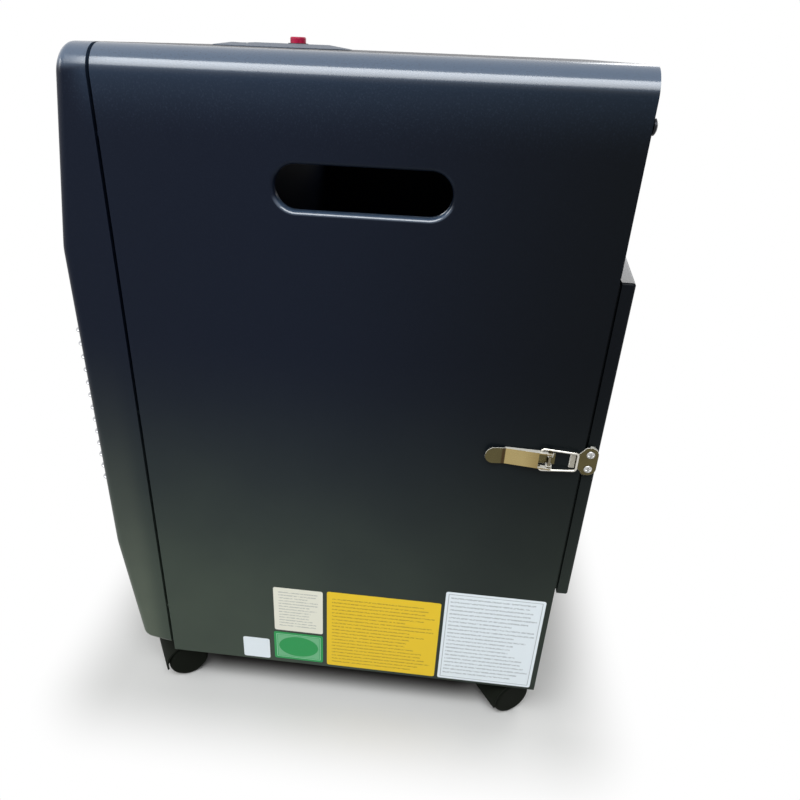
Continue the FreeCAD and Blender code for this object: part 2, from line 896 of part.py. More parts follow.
def make_injectors():
    bodies = []
    for i in range(burner_count):
        hexagon = [V(burner_x(i) + injector_radius * cos(radians(60 * k)),
                     venturi_y + injector_radius * sin(radians(60 * k)), injector_base) for k in range(6)]
        nut = Part.Face(Part.makePolygon(hexagon + hexagon[:1])).extrude(V(0, 0, injector_length))
        nipple = upright(burner_x(i), venturi_y, venturi_base, venturi_base + injector_nipple,
                         injector_nipple_radius)
        bodies.append(nut.fuse(nipple))
    return Part.makeCompound(bodies)


def make_feed_pipes():
    low = injector_base - pipe_drop
    pipes = []
    for i in range(burner_count):
        x = burner_x(i)
        if x == 0:
            route = [V(0, knob_y, valve_body_base)]
        else:
            port = valve_width / 2 if x > 0 else -valve_width / 2
            route = [V(port, knob_y, valve_mid), V(x, knob_y, valve_mid)]
        route += [V(x, knob_y, low), V(x, venturi_y, low), V(x, venturi_y, injector_base)]
        pipes.append(bent_tube(route, pipe_bend, pipe_diameter / 2))
    return Part.makeCompound(pipes)


def pilot_places():
    """Height and radius of the thermocouple, the pilot burner and the spark electrode."""
    z = window_mid_z - pilot_drop
    return [
        (z + pilot_spacing, thermocouple_radius),
        (z, pilot_radius),
        (z - pilot_spacing, electrode_radius),
    ]


def line_y(row):
    """Depth of one of the lines that rise behind the burners."""
    return plate_y + plenum_depth + line_standoff + row * line_spacing


def make_thermocouple():
    z, radius = pilot_places()[0]
    start = V(pilot_x, plate_y - pilot_reach, z)
    joint = V(pilot_x, plate_y + pilot_tail, z)
    top = valve_mid + line_spacing
    route = [joint, V(pilot_x, line_y(0), z), V(pilot_x, line_y(0), top), V(0, line_y(0), top),
             V(0, knob_y - valve_depth / 2, top)]
    return rod(start, joint, radius).fuse(bent_tube(route, line_bend, lead_diameter / 2)).removeSplitter()


def make_pilot_burner():
    z, radius = pilot_places()[1]
    tube = rod(V(pilot_x, plate_y - pilot_reach, z), V(pilot_x, plate_y + pilot_tail, z), radius)
    mouth = rod(V(pilot_x, plate_y - pilot_reach - 1, z), V(pilot_x, plate_y, z), radius - pilot_wall)
    return tube.cut(mouth)


def make_pilot_pipe():
    z = pilot_places()[1][0]
    x = valve_width / 4
    top = valve_mid - line_spacing
    route = [V(pilot_x, plate_y + pilot_tail, z), V(pilot_x, line_y(1), z), V(pilot_x, line_y(1), top),
             V(x, line_y(1), top), V(x, knob_y - valve_depth / 2, top)]
    return bent_tube(route, line_bend / 2, pilot_pipe_diameter / 2)


def make_spark_electrode():
    z, radius = pilot_places()[2]
    front = plate_y - pilot_reach
    body = rod(V(pilot_x, front + electrode_tip_length, z), V(pilot_x, plate_y + pilot_tail, z), radius)
    tip = rod(V(pilot_x, front, z), V(pilot_x, plate_y, z), electrode_tip)
    return body.fuse(tip)


def make_ignition_lead():
    z = pilot_places()[2][0]
    over = tray_floor + partition_height + line_bend
    route = [V(pilot_x, plate_y + pilot_tail, z), V(pilot_x, line_y(2), z), V(pilot_x, line_y(2), over),
             V(pilot_x, igniter_y, over), V(0, igniter_y, over), V(0, igniter_y, panel_top - igniter_length)]
    return bent_tube(route, line_bend, lead_diameter / 2)


def barrel_radius():
    """Outer radius of the igniter's barrel."""
    return button_diameter / 2 + running_clearance + igniter_wall


def make_control_bezel():
    def oval(inset, z):
        """Outline of the bezel at one height."""
        ring = Part.Ellipse(V(0, bezel_y, z), bezel_length / 2 - inset, bezel_width / 2 - inset).toShape()
        ring.rotate(V(0, bezel_y, z), V(0, 0, 1), 90)
        return Part.Wire(ring)

    rim = Part.Face(oval(0, panel_top)).extrude(V(0, 0, bezel_rim))
    rise = Part.makeLoft([oval(0, panel_top + bezel_rim), oval(bezel_slope_width, panel_top + bezel_height)],
                         True, True)
    cup = upright(0, knob_y, valve_top, panel_top + bezel_rim, well_radius + bezel_wall)
    bezel = merge([rim, rise, cup])
    well = upright(0, knob_y, well_floor, panel_top + 2 * bezel_height, well_radius)
    stem = upright(0, knob_y, valve_top - 1, well_floor + 1, spindle_diameter / 2 + wide_clearance)
    igniter = upright(0, igniter_y, panel_top - 1, panel_top + 2 * bezel_height,
                      barrel_radius() + press_clearance)
    holes = [rod(seat - V(0, 0, 2 * bezel_wall), seat + V(0, 0, 1), screw_diameter / 2 + hole_clearance)
             for seat in valve_screw_seats()]
    return bezel.cut([well, stem, igniter] + holes)


def valve_screw_seats():
    """Places on the floor of the knob's well where screws hold the valve."""
    return [V(sx * valve_screw_spacing / 2, knob_y, well_floor) for sx in (-1, 1)]


def make_gas_valve():
    block = box(-valve_width / 2, valve_width / 2, knob_y - valve_depth / 2, knob_y + valve_depth / 2,
                valve_body_base, valve_body_top)
    block = block.makeFillet(valve_edge, [e for e in block.Edges if e.BoundBox.ZMax - e.BoundBox.ZMin > 1])
    neck = upright(0, knob_y, valve_body_top, valve_top, valve_neck_radius)
    plate = upright(0, knob_y, valve_top - valve_flange, valve_top, valve_flange_radius)
    rotor_base = valve_top - rotor_drop - rotor_length
    seat = upright(0, knob_y, rotor_base, valve_top, rotor_radius + running_clearance)
    bore = upright(0, knob_y, rotor_base - 2 * knob_travel, valve_top, spindle_diameter / 2 + hole_clearance)
    holes = [rod(V(s.x, s.y, valve_top - valve_flange - 1), V(s.x, s.y, valve_top),
                 screw_diameter / 2 + press_clearance) for s in valve_screw_seats()]
    return merge([block, neck, plate]).cut([seat, bore] + holes)


def keyed_bar(z0, z1, radius, grow):
    """Spindle bar with one flat, grown all round."""
    bar = upright(0, knob_y, z0, z1, radius + grow)
    flat_y = knob_y + radius - spindle_flat + grow
    return bar.cut(box(-2 * radius, 2 * radius, flat_y, flat_y + 2 * radius, z0, z1))


def make_valve_rotor():
    top = valve_top - rotor_drop
    drum = upright(0, knob_y, top - rotor_length, top, rotor_radius)
    return drum.cut(keyed_bar(top - rotor_length, top, spindle_diameter / 2, running_clearance))


def spindle_top():
    """Upper end of the spindle, inside the knob."""
    return panel_top + knob_rise - knob_skirt


def make_valve_spindle():
    return keyed_bar(valve_top - rotor_drop - rotor_length, spindle_top(), spindle_diameter / 2, 0)


def make_control_knob():
    top = panel_top + knob_rise
    base = top - knob_height
    skirt = upright(0, knob_y, base, base + knob_skirt, knob_diameter / 2)
    skirt = round_top(skirt, knob_round)
    reach = knob_diameter / 2 - knob_round
    grip = box(-knob_bar / 2, knob_bar / 2, knob_y - reach, knob_y + reach, base, top)
    grip = round_top(grip.common(upright(0, knob_y, base, top, reach)), knob_round)
    socket = keyed_bar(base, spindle_top(), spindle_diameter / 2, press_clearance)
    return merge([skirt, grip]).cut(socket)


def make_piezo_igniter():
    face = panel_top + bezel_height
    top = face + igniter_collar
    body = upright(0, igniter_y, panel_top - igniter_length, top, barrel_radius())
    collar = upright(0, igniter_y, face, top, barrel_radius() + igniter_collar)
    floor = panel_top + button_rise - button_length - button_travel - wide_clearance
    bore = upright(0, igniter_y, floor, top + 1, button_diameter / 2 + running_clearance)
    return merge([body, collar]).cut(bore)


def make_igniter_button():
    top = panel_top + button_rise
    button = upright(0, igniter_y, top - button_length, top, button_diameter / 2)
    return round_top(button, button_round)


def make_gas_inlet():
    start = V(-inlet_offset, knob_y + valve_depth / 2, valve_mid)
    end = start + V(0, inlet_length, 0)
    tail = rod(end - V(0, hose_tail_length, 0), end, hose_tail_radius)
    inlet = merge([rod(start, end, inlet_pipe_radius), tail])
    cuts = [rod(start + V(0, valve_depth / 4, 0), end + V(0, 1, 0), inlet_bore)]
    for i in range(inlet_groove_count):
        middle = end - V(0, (i + 1) * inlet_groove_pitch, 0)
        half = V(0, inlet_groove_width / 2, 0)
        ring = rod(middle - half, middle + half, hose_tail_radius + 1)
        cuts.append(ring.cut(rod(middle - half, middle + half, hose_tail_radius - inlet_groove_depth)))
    return inlet.cut(cuts)


def make_latch_base():
    front = pivot_y - base_length + base_overhang
    back = pivot_y + base_overhang
    half = lever_width / 2 - 2 * latch_sheet - latch_gap
    plate = box(side_x, side_x + latch_sheet, front, back, latch_z - half, latch_z + half)
    ear_radius = latch_pin_diameter
    parts = [plate]
    for z in (latch_z - half, latch_z + half - latch_sheet):
        ear = box(side_x, pivot_x, pivot_y - ear_radius, pivot_y + ear_radius, z, z + latch_sheet)
        parts += [ear, upright(pivot_x, pivot_y, z, z + latch_sheet, ear_radius)]
    base = merge(parts)
    cuts = [upright(pivot_x, pivot_y, latch_z - lever_width, latch_z + lever_width,
                    latch_pin_diameter / 2 + press_clearance)]
    through = V(2 * latch_sheet, 0, 0)
    for seat in rivet_seats():
        cuts.append(rod(seat - through, seat + through, rivet_diameter / 2 + press_clearance))
    return base.cut(cuts)


def make_latch_pin():
    half = lever_width / 2 + latch_gap / 4
    pin = upright(pivot_x, pivot_y, latch_z - half, latch_z + half, latch_pin_diameter / 2)
    heads = [upright(pivot_x, pivot_y, z, z + latch_pin_head, latch_pin_head_diameter / 2)
             for z in (latch_z - half - latch_pin_head, latch_z + half)]
    return merge([pin] + heads)


def make_latch_rivets():
    rivets = []
    for seat in rivet_seats():
        head = rod(seat, seat + V(rivet_head_height, 0, 0), rivet_head_diameter / 2)
        head = head.makeFillet(rivet_head_round, [head.Edges[0]])
        shank = rod(seat - V(latch_sheet + 2 * sheet, 0, 0), seat, rivet_diameter / 2)
        rivet = head.fuse(shank)
        rivets += [rivet, mirrored(rivet)]
    return Part.makeCompound(rivets)


def make_latch_lever():
    half = lever_width / 2
    top_x = pivot_x + lever_end_radius
    low_x = pivot_x - lever_end_radius
    tab_y = pivot_y - lever_channel_length
    root_low = side_x + lever_root_gap
    root_top = root_low + lever_root_depth
    walls = []
    for z in (latch_z - half, latch_z + half - latch_sheet):
        wall = rounded_face([
            (V(root_low, tab_y, z), 0),
            (V(low_x, pivot_y, z), 0),
            (V(top_x, pivot_y, z), 0),
            (V(root_top, tab_y, z), 0),
        ]).extrude(V(0, 0, latch_sheet))
        walls += [wall, upright(pivot_x, pivot_y, z, z + latch_sheet, lever_end_radius)]

    # The web slopes with the walls and stops short of the wire.
    web_back = bail_y - lever_web_gap
    web_rise = (top_x - root_top) * (web_back - tab_y) / lever_channel_length
    foot = latch_z - half
    web = rounded_face([
        (V(root_top - latch_sheet, tab_y, foot), 0),
        (V(root_top, tab_y, foot), 0),
        (V(root_top + web_rise, web_back, foot), 0),
        (V(root_top + web_rise - latch_sheet, web_back, foot), 0),
    ]).extrude(V(0, 0, lever_width))

    # The finger tab leans outward in front of the channel and has a round end.
    angle = radians(lever_tab_angle)
    lean = V(sin(angle), -cos(angle), 0)
    up = V(cos(angle), sin(angle), 0)
    root = V(root_top - latch_sheet, tab_y + latch_sheet, latch_z)
    across = V(0, 0, half)
    end = root + lean * (lever_tab_length - half)
    arc = Part.Arc(end + across, end + lean * half, end - across).toShape()
    sides = [Part.makeLine(root - across, root + across), Part.makeLine(root + across, end + across),
             arc, Part.makeLine(end - across, root - across)]
    tab = Part.Face(Part.Wire(sides)).extrude(up * latch_sheet)
    lever = merge(walls + [web, tab])

    clear = latch_pin_diameter / 2 + running_clearance
    pin_hole = upright(pivot_x, pivot_y, latch_z - 2 * half, latch_z + 2 * half, clear)
    wire_clear = bail_wire / 2 + running_clearance
    bail_hole = upright(bail_x, bail_y, latch_z - 2 * half, latch_z + 2 * half, wire_clear)
    return lever.cut([pin_hole, bail_hole])


def make_latch_bail():
    inside = lever_width / 2 - latch_sheet - latch_gap
    wide = bail_width / 2
    nose = bail_nose_width / 2
    lower = [(bail_y, -inside), (bail_y, -wide), (nose_y, -nose)]
    upper = [(y, -z) for y, z in reversed(lower)]
    points = [V(bail_x, y, latch_z + z) for y, z in lower + upper]
    return bent_tube(points, bail_corner, bail_wire / 2)


def keeper_screw_seats():
    """Places on the right keeper where screws hold it to the rear cover."""
    x = keeper_top_x
    half = keeper_screw_spacing / 2
    return [V(x, keeper_screw_y, latch_z + z) for z in (-half, half)]


def make_keeper():
    low = side_x + latch_gap
    neck = keeper_hook_width / 2
    half = keeper_width / 2
    front = rear_y - keeper_neck_lead
    shoulder = front + keeper_neck_length
    back = rear_y + cover_depth - keeper_plate_margin
    outline = [
        (V(low, front, latch_z - neck), 0),
        (V(low, shoulder, latch_z - half), keeper_shoulder),
        (V(low, back, latch_z - half), keeper_round),
        (V(low, back, latch_z + half), keeper_round),
        (V(low, shoulder, latch_z + half), keeper_shoulder),
        (V(low, front, latch_z + neck), 0),
    ]
    plate = rounded_face(outline).extrude(V(keeper_sheet, 0, 0))

    # The foot fills the step down to the side of the cover.
    foot = rounded_face(outline).extrude(V(cover_side_x - low, 0, 0))
    seat = cover_front + cover_edge_radius
    foot = foot.common(box(cover_side_x, low, seat, back, latch_z - half, latch_z + half))

    # The hook stands up at the front end, just inside the wire's nose.
    hook_top = bail_x - bail_wire / 2 - latch_gap
    strip = rounded_face([
        (V(low, hook_front, latch_z - neck), keeper_sheet / 2),
        (V(low, shoulder, latch_z - neck), 0),
        (V(keeper_top_x, shoulder, latch_z - neck), 0),
        (V(keeper_top_x, hook_back, latch_z - neck), 0),
        (V(hook_top, hook_back, latch_z - neck), keeper_sheet / 2),
        (V(hook_top, hook_front, latch_z - neck), keeper_sheet),
    ]).extrude(V(0, 0, keeper_hook_width))
    holes = [screw_hole(s, V(1, 0, 0)) for s in keeper_screw_seats()]
    return merge([plate, foot, strip]).cut(holes)


def make_screws():
    """Every group of like screws, by name."""
    pan_head = (screw_head_diameter, screw_head_height)
    washer_head = (washer_head_diameter, washer_head_height)
    rearward = V(0, 1, 0)
    fascia = [screw(seat, rearward, *pan_head) for seat in fascia_screw_seats()]
    panel = [screw(seat, rearward, *washer_head) for seat in panel_screw_seats()]
    valve = [screw(seat, V(0, 0, 1), *pan_head) for seat in valve_screw_seats()]
    keeper = [screw(seat, V(1, 0, 0), *pan_head) for seat in keeper_screw_seats()]
    keeper += [mirrored(piece) for piece in keeper]
    return {
        "fascia_screws": Part.makeCompound(fascia),
        "rear_panel_screws": Part.makeCompound(panel),
        "valve_screws": Part.makeCompound(valve),
        "keeper_screws": Part.makeCompound(keeper),
    }


def caster_places():
    """Swivel axis of each caster."""
    x = side_x - caster_side_inset
    front = seam_y + caster_front_setback
    rear = rear_y - caster_rear_setback
    return {
        "front_left": (-x, front),
        "front_right": (x, front),
        "rear_left": (-x, rear),
        "rear_right": (x, rear),
    }


def along_axle(x0, x1, radius):
    """Round bar on the wheels' axle, with the swivel axis at the origin."""
    return rod(V(x0, -trail, axle_z), V(x1, -trail, axle_z), radius)


def make_caster_hood():
    web = web_thickness / 2
    half = web + wheel_gap + wheel_width
    fender = along_axle(-half, half, hood_radius)
    skirt_z = axle_z + hood_skirt
    above = box(-half, half, -2 * hood_radius - trail, 2 * hood_radius, skirt_z, 2 * boss_top)
    behind = box(-half, half, -2 * hood_radius - trail, -trail - hub_radius, hood_floor_gap, 2 * boss_top)
    fender = fender.common(merge([above, behind]))
    plate = along_axle(-web, web, hood_radius)
    plate = plate.common(box(-half, half, -2 * hood_radius - trail, 2 * hood_radius, axle_z, 2 * boss_top))
    boss = upright(0, 0, axle_z + hood_skirt, boss_top, boss_diameter / 2)
    hood = merge([fender, plate, along_axle(-web, web, hub_radius), boss])
    spaces = [along_axle(web, 2 * half, wheel_space), along_axle(-2 * half, -web, wheel_space)]
    bore = along_axle(-half, half, axle_diameter / 2 + running_clearance)
    stem_hole = upright(0, 0, boss_top - stem_entry, boss_top + 1, stem_diameter / 2 + press_clearance)
    return hood.cut(spaces + [bore, stem_hole])


def make_caster_stem():
    stem = upright(0, 0, boss_top - stem_entry, tray_base + stem_length, stem_diameter / 2)
    return round_top(stem, stem_round)


def make_caster_axle():
    half = web_thickness / 2 + wheel_gap + wheel_width - axle_end_cover
    return along_axle(-half, half, axle_diameter / 2)


def make_caster_wheels():
    inner = web_thickness / 2 + wheel_gap
    outer = inner + wheel_width
    bore = axle_diameter / 2 + press_clearance
    rim = wheel_diameter / 2

    def at(x, radius):
        """Point of the wheel's half section."""
        return V(x, -trail, axle_z + radius)

    section = rounded_face([
        (at(inner, bore), 0),
        (at(inner, rim), 0),
        (at(outer, rim), tread_radius),
        (at(outer, 0), 0),
        (at(outer - axle_end_cover, 0), 0),
        (at(outer - axle_end_cover, bore), 0),
    ])
    wheel = section.revolve(V(0, -trail, axle_z), V(1, 0, 0), 360)
    return Part.makeCompound([wheel, mirrored(wheel)])


def make_caster_socket(x, y):
    base = tray_base - socket_flange
    ring = upright(x, y, base, tray_base, socket_flange_diameter / 2)
    top = tray_base + stem_length + socket_end + swivel_gap
    barrel = upright(x, y, base, top, socket_diameter / 2)
    bore = upright(x, y, base - 1, top - socket_end, stem_diameter / 2 + running_clearance)
    return merge([ring, barrel]).cut(bore)


def make_casters():
    """All caster pieces by name, each caster turned to its heading and set on its swivel axis."""
    pieces = {}
    patterns = {
        "hood": make_caster_hood(),
        "stem": make_caster_stem(),
        "axle": make_caster_axle(),
        "wheels": make_caster_wheels(),
    }
    for place, (x, y) in caster_places().items():
        for name, pattern in patterns.items():
            piece = pattern.copy()
            piece.rotate(V(0, 0, 0), V(0, 0, 1), caster_heading)
            piece.translate(V(x, y, 0))
            pieces["caster_" + place + "_" + name] = piece
    return pieces


def make_pieces():
    """Every piece of the heater by name."""
    pieces = {
        "cabinet_wrap": make_cabinet_wrap(),
        "front_fascia": make_front_fascia(),
        "wire_guard": make_wire_guard(),
        "rear_cover": make_rear_cover(),
        "rear_upper_panel": make_rear_upper_panel(),
        "base_tray": make_base_tray(),
        "partition": make_partition(),
        "reflector_frame": make_reflector_frame(),
        "injectors": make_injectors(),
        "feed_pipes": make_feed_pipes(),
        "thermocouple": make_thermocouple(),
        "pilot_burner": make_pilot_burner(),
        "pilot_pipe": make_pilot_pipe(),
        "spark_electrode": make_spark_electrode(),
        "ignition_lead": make_ignition_lead(),
        "control_bezel": make_control_bezel(),
        "gas_valve": make_gas_valve(),
        "valve_rotor": make_valve_rotor(),
        "valve_spindle": make_valve_spindle(),
        "control_knob": make_control_knob(),
        "piezo_igniter": make_piezo_igniter(),
        "igniter_button": make_igniter_button(),
        "gas_inlet": make_gas_inlet(),
        "latch_rivets": make_latch_rivets(),
    }
    for i, place in enumerate(("left", "middle", "right")):
        pieces["burner_plenum_" + place] = make_burner_plenum(i)
        pieces["ceramic_plaque_" + place] = make_ceramic_plaque(i)
    latch = {
        "latch_base": make_latch_base(),
        "latch_lever": make_latch_lever(),
        "latch_bail": make_latch_bail(),
        "keeper": make_keeper(),
    }
    for name, piece in latch.items():
        pieces[name + "_right"] = piece
        pieces[name + "_left"] = mirrored(piece)
    pin = make_latch_pin()
    pieces["latch_pins"] = Part.makeCompound([pin, mirrored(pin)])
    sockets = [make_caster_socket(x, y) for x, y in caster_places().values()]
    pieces["caster_sockets"] = Part.makeCompound(sockets)
    pieces.update(make_screws())
    pieces.update(make_casters())
    return pieces


def main():
    os.makedirs("parts", exist_ok=True)
    for name, piece in make_pieces().items():
        piece.exportStep("parts/" + name + ".step")


main()
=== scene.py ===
"""Looks of a portable gas cabinet heater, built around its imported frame.

Every node gets a procedural finish. Finer meshes stand in for the guard and latch wires, the latch
sheets, the screws of latches and rear panel, and the burner plaques. Blank labels, marks on the
controls and the stage are added. Lengths are in metres, in the frame's axes.
"""
import math

import bmesh
import bpy
from bpy.props import FloatProperty, FloatVectorProperty, IntProperty, PointerProperty
from mathutils import Matrix, Vector
from mathutils.bvhtree import BVHTree


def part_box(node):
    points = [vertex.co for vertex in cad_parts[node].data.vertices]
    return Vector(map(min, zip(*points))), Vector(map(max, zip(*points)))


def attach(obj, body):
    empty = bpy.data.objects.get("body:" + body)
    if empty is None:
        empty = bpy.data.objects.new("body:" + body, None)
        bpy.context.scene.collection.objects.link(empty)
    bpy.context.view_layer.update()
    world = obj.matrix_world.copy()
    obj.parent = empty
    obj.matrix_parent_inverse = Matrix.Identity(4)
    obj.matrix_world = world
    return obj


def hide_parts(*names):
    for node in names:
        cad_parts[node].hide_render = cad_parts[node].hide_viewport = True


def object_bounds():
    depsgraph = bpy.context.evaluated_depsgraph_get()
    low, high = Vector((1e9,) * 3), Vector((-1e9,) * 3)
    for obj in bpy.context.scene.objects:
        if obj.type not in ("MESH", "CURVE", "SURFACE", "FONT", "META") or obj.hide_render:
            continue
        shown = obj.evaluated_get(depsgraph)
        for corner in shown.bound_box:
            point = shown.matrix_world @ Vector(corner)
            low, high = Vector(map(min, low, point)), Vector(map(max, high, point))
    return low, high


bl_info = {
    "name": "Cabinet heater looks",
    "version": (1, 0, 0),
    "blender": (4, 5, 0),
    "location": "View3D > Sidebar > Heater",
    "description": "Finishes, fine pieces and stage for a portable gas cabinet heater",
    "category": "Object",
}

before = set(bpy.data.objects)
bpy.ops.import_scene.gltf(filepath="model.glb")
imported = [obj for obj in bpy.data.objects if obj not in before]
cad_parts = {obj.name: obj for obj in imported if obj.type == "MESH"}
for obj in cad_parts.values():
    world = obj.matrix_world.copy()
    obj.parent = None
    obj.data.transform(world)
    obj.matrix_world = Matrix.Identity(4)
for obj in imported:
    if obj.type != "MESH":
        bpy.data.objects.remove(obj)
cad_low, cad_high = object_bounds()
wrap_low, wrap_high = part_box("cabinet_wrap")
side_x = wrap_high.x

MM = 0.001
SIDES = (("right", 1), ("left", -1))
CASTERS = ("front_left", "front_right", "rear_left", "rear_right")
WELD_GAP = 0.004 * MM  # joins the loose triangles of a CAD node
MERGE_GAP = 0.002 * MM  # joins the corners of a new piece
FLAT_ANGLE = math.radians(0.4)  # faces that differ by less become one face
EDGE_ANGLE = math.radians(38)  # edges past this are rounded
CREASE_ANGLE = math.radians(35)  # edges past this are shaded sharp
SHADE_WEIGHT = 60
FACING = 0.85  # share of a normal along X, for a face that looks that way


def srgb(red, green, blue):
    """Linear colour of an 8-bit screen colour."""
    shares = [channel / 255 for channel in (red, green, blue)]
    return tuple(
        share / 12.92 if share <= 0.04045 else ((share + 0.055) / 1.055) ** 2.4 for share in shares)


class Signal:
    """A socket that gives a value, with the operators that shader maths needs."""

    def __init__(self, builder, socket):
        self.builder = builder
        self.socket = socket

    def maths(self, operation, *others):
        inputs = dict(enumerate((self,) + others))
        return self.builder.node("ShaderNodeMath", {"operation": operation}, inputs)

    def __add__(self, other):
        return self.maths("ADD", other)

    def __sub__(self, other):
        return self.maths("SUBTRACT", other)

    def __rsub__(self, other):
        inputs = {0: other, 1: self}
        return self.builder.node("ShaderNodeMath", {"operation": "SUBTRACT"}, inputs)

    def __mul__(self, other):
        return self.maths("MULTIPLY", other)

    def __truediv__(self, other):
        return self.maths("DIVIDE", other)

    def __abs__(self):
        return self.maths("ABSOLUTE")

    __radd__ = __add__
    __rmul__ = __mul__

    def above(self, limit):
        return self.maths("GREATER_THAN", limit)

    def below(self, limit):
        return self.maths("LESS_THAN", limit)

    def most(self, other):
        return self.maths("MAXIMUM", other)

    def least(self, other):
        return self.maths("MINIMUM", other)

    def root(self):
        return self.maths("SQRT")

    def whole(self):
        return self.maths("FLOOR")

    def wrapped(self):
        return self.maths("FRACT")

    def span(self, low, high):
        """0 at low, 1 at high, smooth in between."""
        settings = {"interpolation_type": "SMOOTHSTEP"}
        inputs = {0: self, 1: low, 2: high, 3: 0.0, 4: 1.0}
        return self.builder.node("ShaderNodeMapRange", settings, inputs)

    def axis(self, index):
        """One component of a vector."""
        return self.builder.node("ShaderNodeSeparateXYZ", {}, {0: self}, out=index)

    def other(self, name):
        """Another output of the same node."""
        return Signal(self.builder, self.socket.node.outputs[name])


class Builder:
    """Adds nodes to one tree: settings first, then the values or links of the sockets."""

    def __init__(self, tree):
        self.tree = tree

    def node(self, kind, settings=None, inputs=None, out=0):
        """Gives one of the new node's outputs, or the node itself where it has none."""
        made = self.tree.nodes.new(kind)
        for name, value in (settings or {}).items():
            setattr(made, name, value)
        for key, value in (inputs or {}).items():
            if isinstance(value, Signal):
                self.tree.links.new(value.socket, made.inputs[key])
            else:
                made.inputs[key].default_value = value
        return Signal(self, made.outputs[out]) if made.outputs else made


class Finish(Builder):
    """One material with a principled shader; constant sockets are set by name."""

    def __init__(self, name, **constants):
        self.material = bpy.data.materials.new(name)
        self.material.use_nodes = True
        super().__init__(self.material.node_tree)
        self.tree.nodes.clear()
        self.shader = self.tree.nodes.new("ShaderNodeBsdfPrincipled")
        self.output = self.tree.nodes.new("ShaderNodeOutputMaterial")
        self.tree.links.new(self.shader.outputs[0], self.output.inputs[0])
        for socket, value in constants.items():
            self.shader.inputs[socket.replace("_", " ")].default_value = value
        self.place = self.node("ShaderNodeTexCoord", out="Object")

    def feed(self, socket, signal):
        """Links a value to one of the shader's sockets."""
        self.tree.links.new(signal.socket, self.shader.inputs[socket])

    def noise(self, scale, detail, stretch=None):
        """Soft noise with features of about 1/scale metres, longer along a stretched axis."""
        place = self.place
        if stretch:
            place = self.node("ShaderNodeMapping", {}, {"Vector": place, "Scale": stretch})
        inputs = {"Vector": place, "Scale": scale, "Detail": detail}
        return self.node("ShaderNodeTexNoise", {"noise_dimensions": "3D"}, inputs)

    def cells(self, scale):
        """One random value for each cell of about 1/scale metres."""
        inputs = {"Vector": self.place, "Scale": scale}
        return self.node("ShaderNodeTexVoronoi", {}, inputs, out="Color").axis(0)

    def mix(self, share, first, second):
        """Colour between two others."""
        inputs = {0: share}
        for key, colour in ((6, first), (7, second)):
            inputs[key] = colour if isinstance(colour, Signal) else (*colour, 1.0)
        return self.node("ShaderNodeMix", {"data_type": "RGBA"}, inputs, out=2)

    def bump(self, height, depth, strength):
        """Relief of the given depth."""
        inputs = {"Height": height, "Distance": depth, "Strength": strength}
        self.feed("Normal", self.node("ShaderNodeBump", {}, inputs))


def tint(name, description, red, green, blue):
    """Colour property from an 8-bit screen colour."""
    return FloatVectorProperty(
        name=name, description=description, subtype="COLOR", default=srgb(red, green, blue))


def length(name, description, millimetres):
    """Length property from millimetres."""
    return FloatProperty(
        name=name, description=description, unit="LENGTH", default=millimetres * MM)


class HeaterColours(bpy.types.PropertyGroup):
    """Colours that a user would change."""

    paint: tint("Paint", "Powder coat of the cabinet", 13, 19, 32)
    # painted shade: paint colour towards the rear, where the sides look darker
    painted_rear_shade: tint("Shaded paint", "Powder coat towards the rear", 3, 6, 10)
    # painted highlight: lighter paint on bends and rolled edges, where light catches them
    painted_highlight: tint("Sheen", "Powder coat on bends and rolled edges", 66, 84, 106)
    # painted light: lighter, greener paint near the floor and at the fascia's foot stands in for
    # light thrown up by the floor
    painted_floor_light: tint("Dusty paint", "Powder coat near the floor", 62, 71, 62)
    painted_foot_light: tint("Fascia foot", "Powder coat at the fascia's foot", 84, 92, 80)
    nickel: tint("Nickel", "Plating of the latch wires", 212, 209, 200)
    # painted reflection: warm tint that stands in for warm light reflected in the levers
    aged_nickel: tint("Aged nickel", "Plating of the latch levers", 172, 154, 106)
    chrome: tint("Chrome", "Guard wires", 205, 206, 210)
    button: tint("Button", "Igniter button", 148, 10, 52)
    bezel: tint("Bezel", "Plastic around the knob", 66, 74, 86)
    caster: tint("Caster", "Plastic of the casters", 15, 18, 13)
    label_yellow: tint("Yellow label", "Largest label", 226, 190, 26)
    label_green: tint("Green label", "Label beside the yellow one", 24, 142, 72)
    label_white: tint("White label", "Labels at both ends", 222, 230, 235)
    label_cream: tint("Cream label", "Label above the green one", 222, 221, 206)


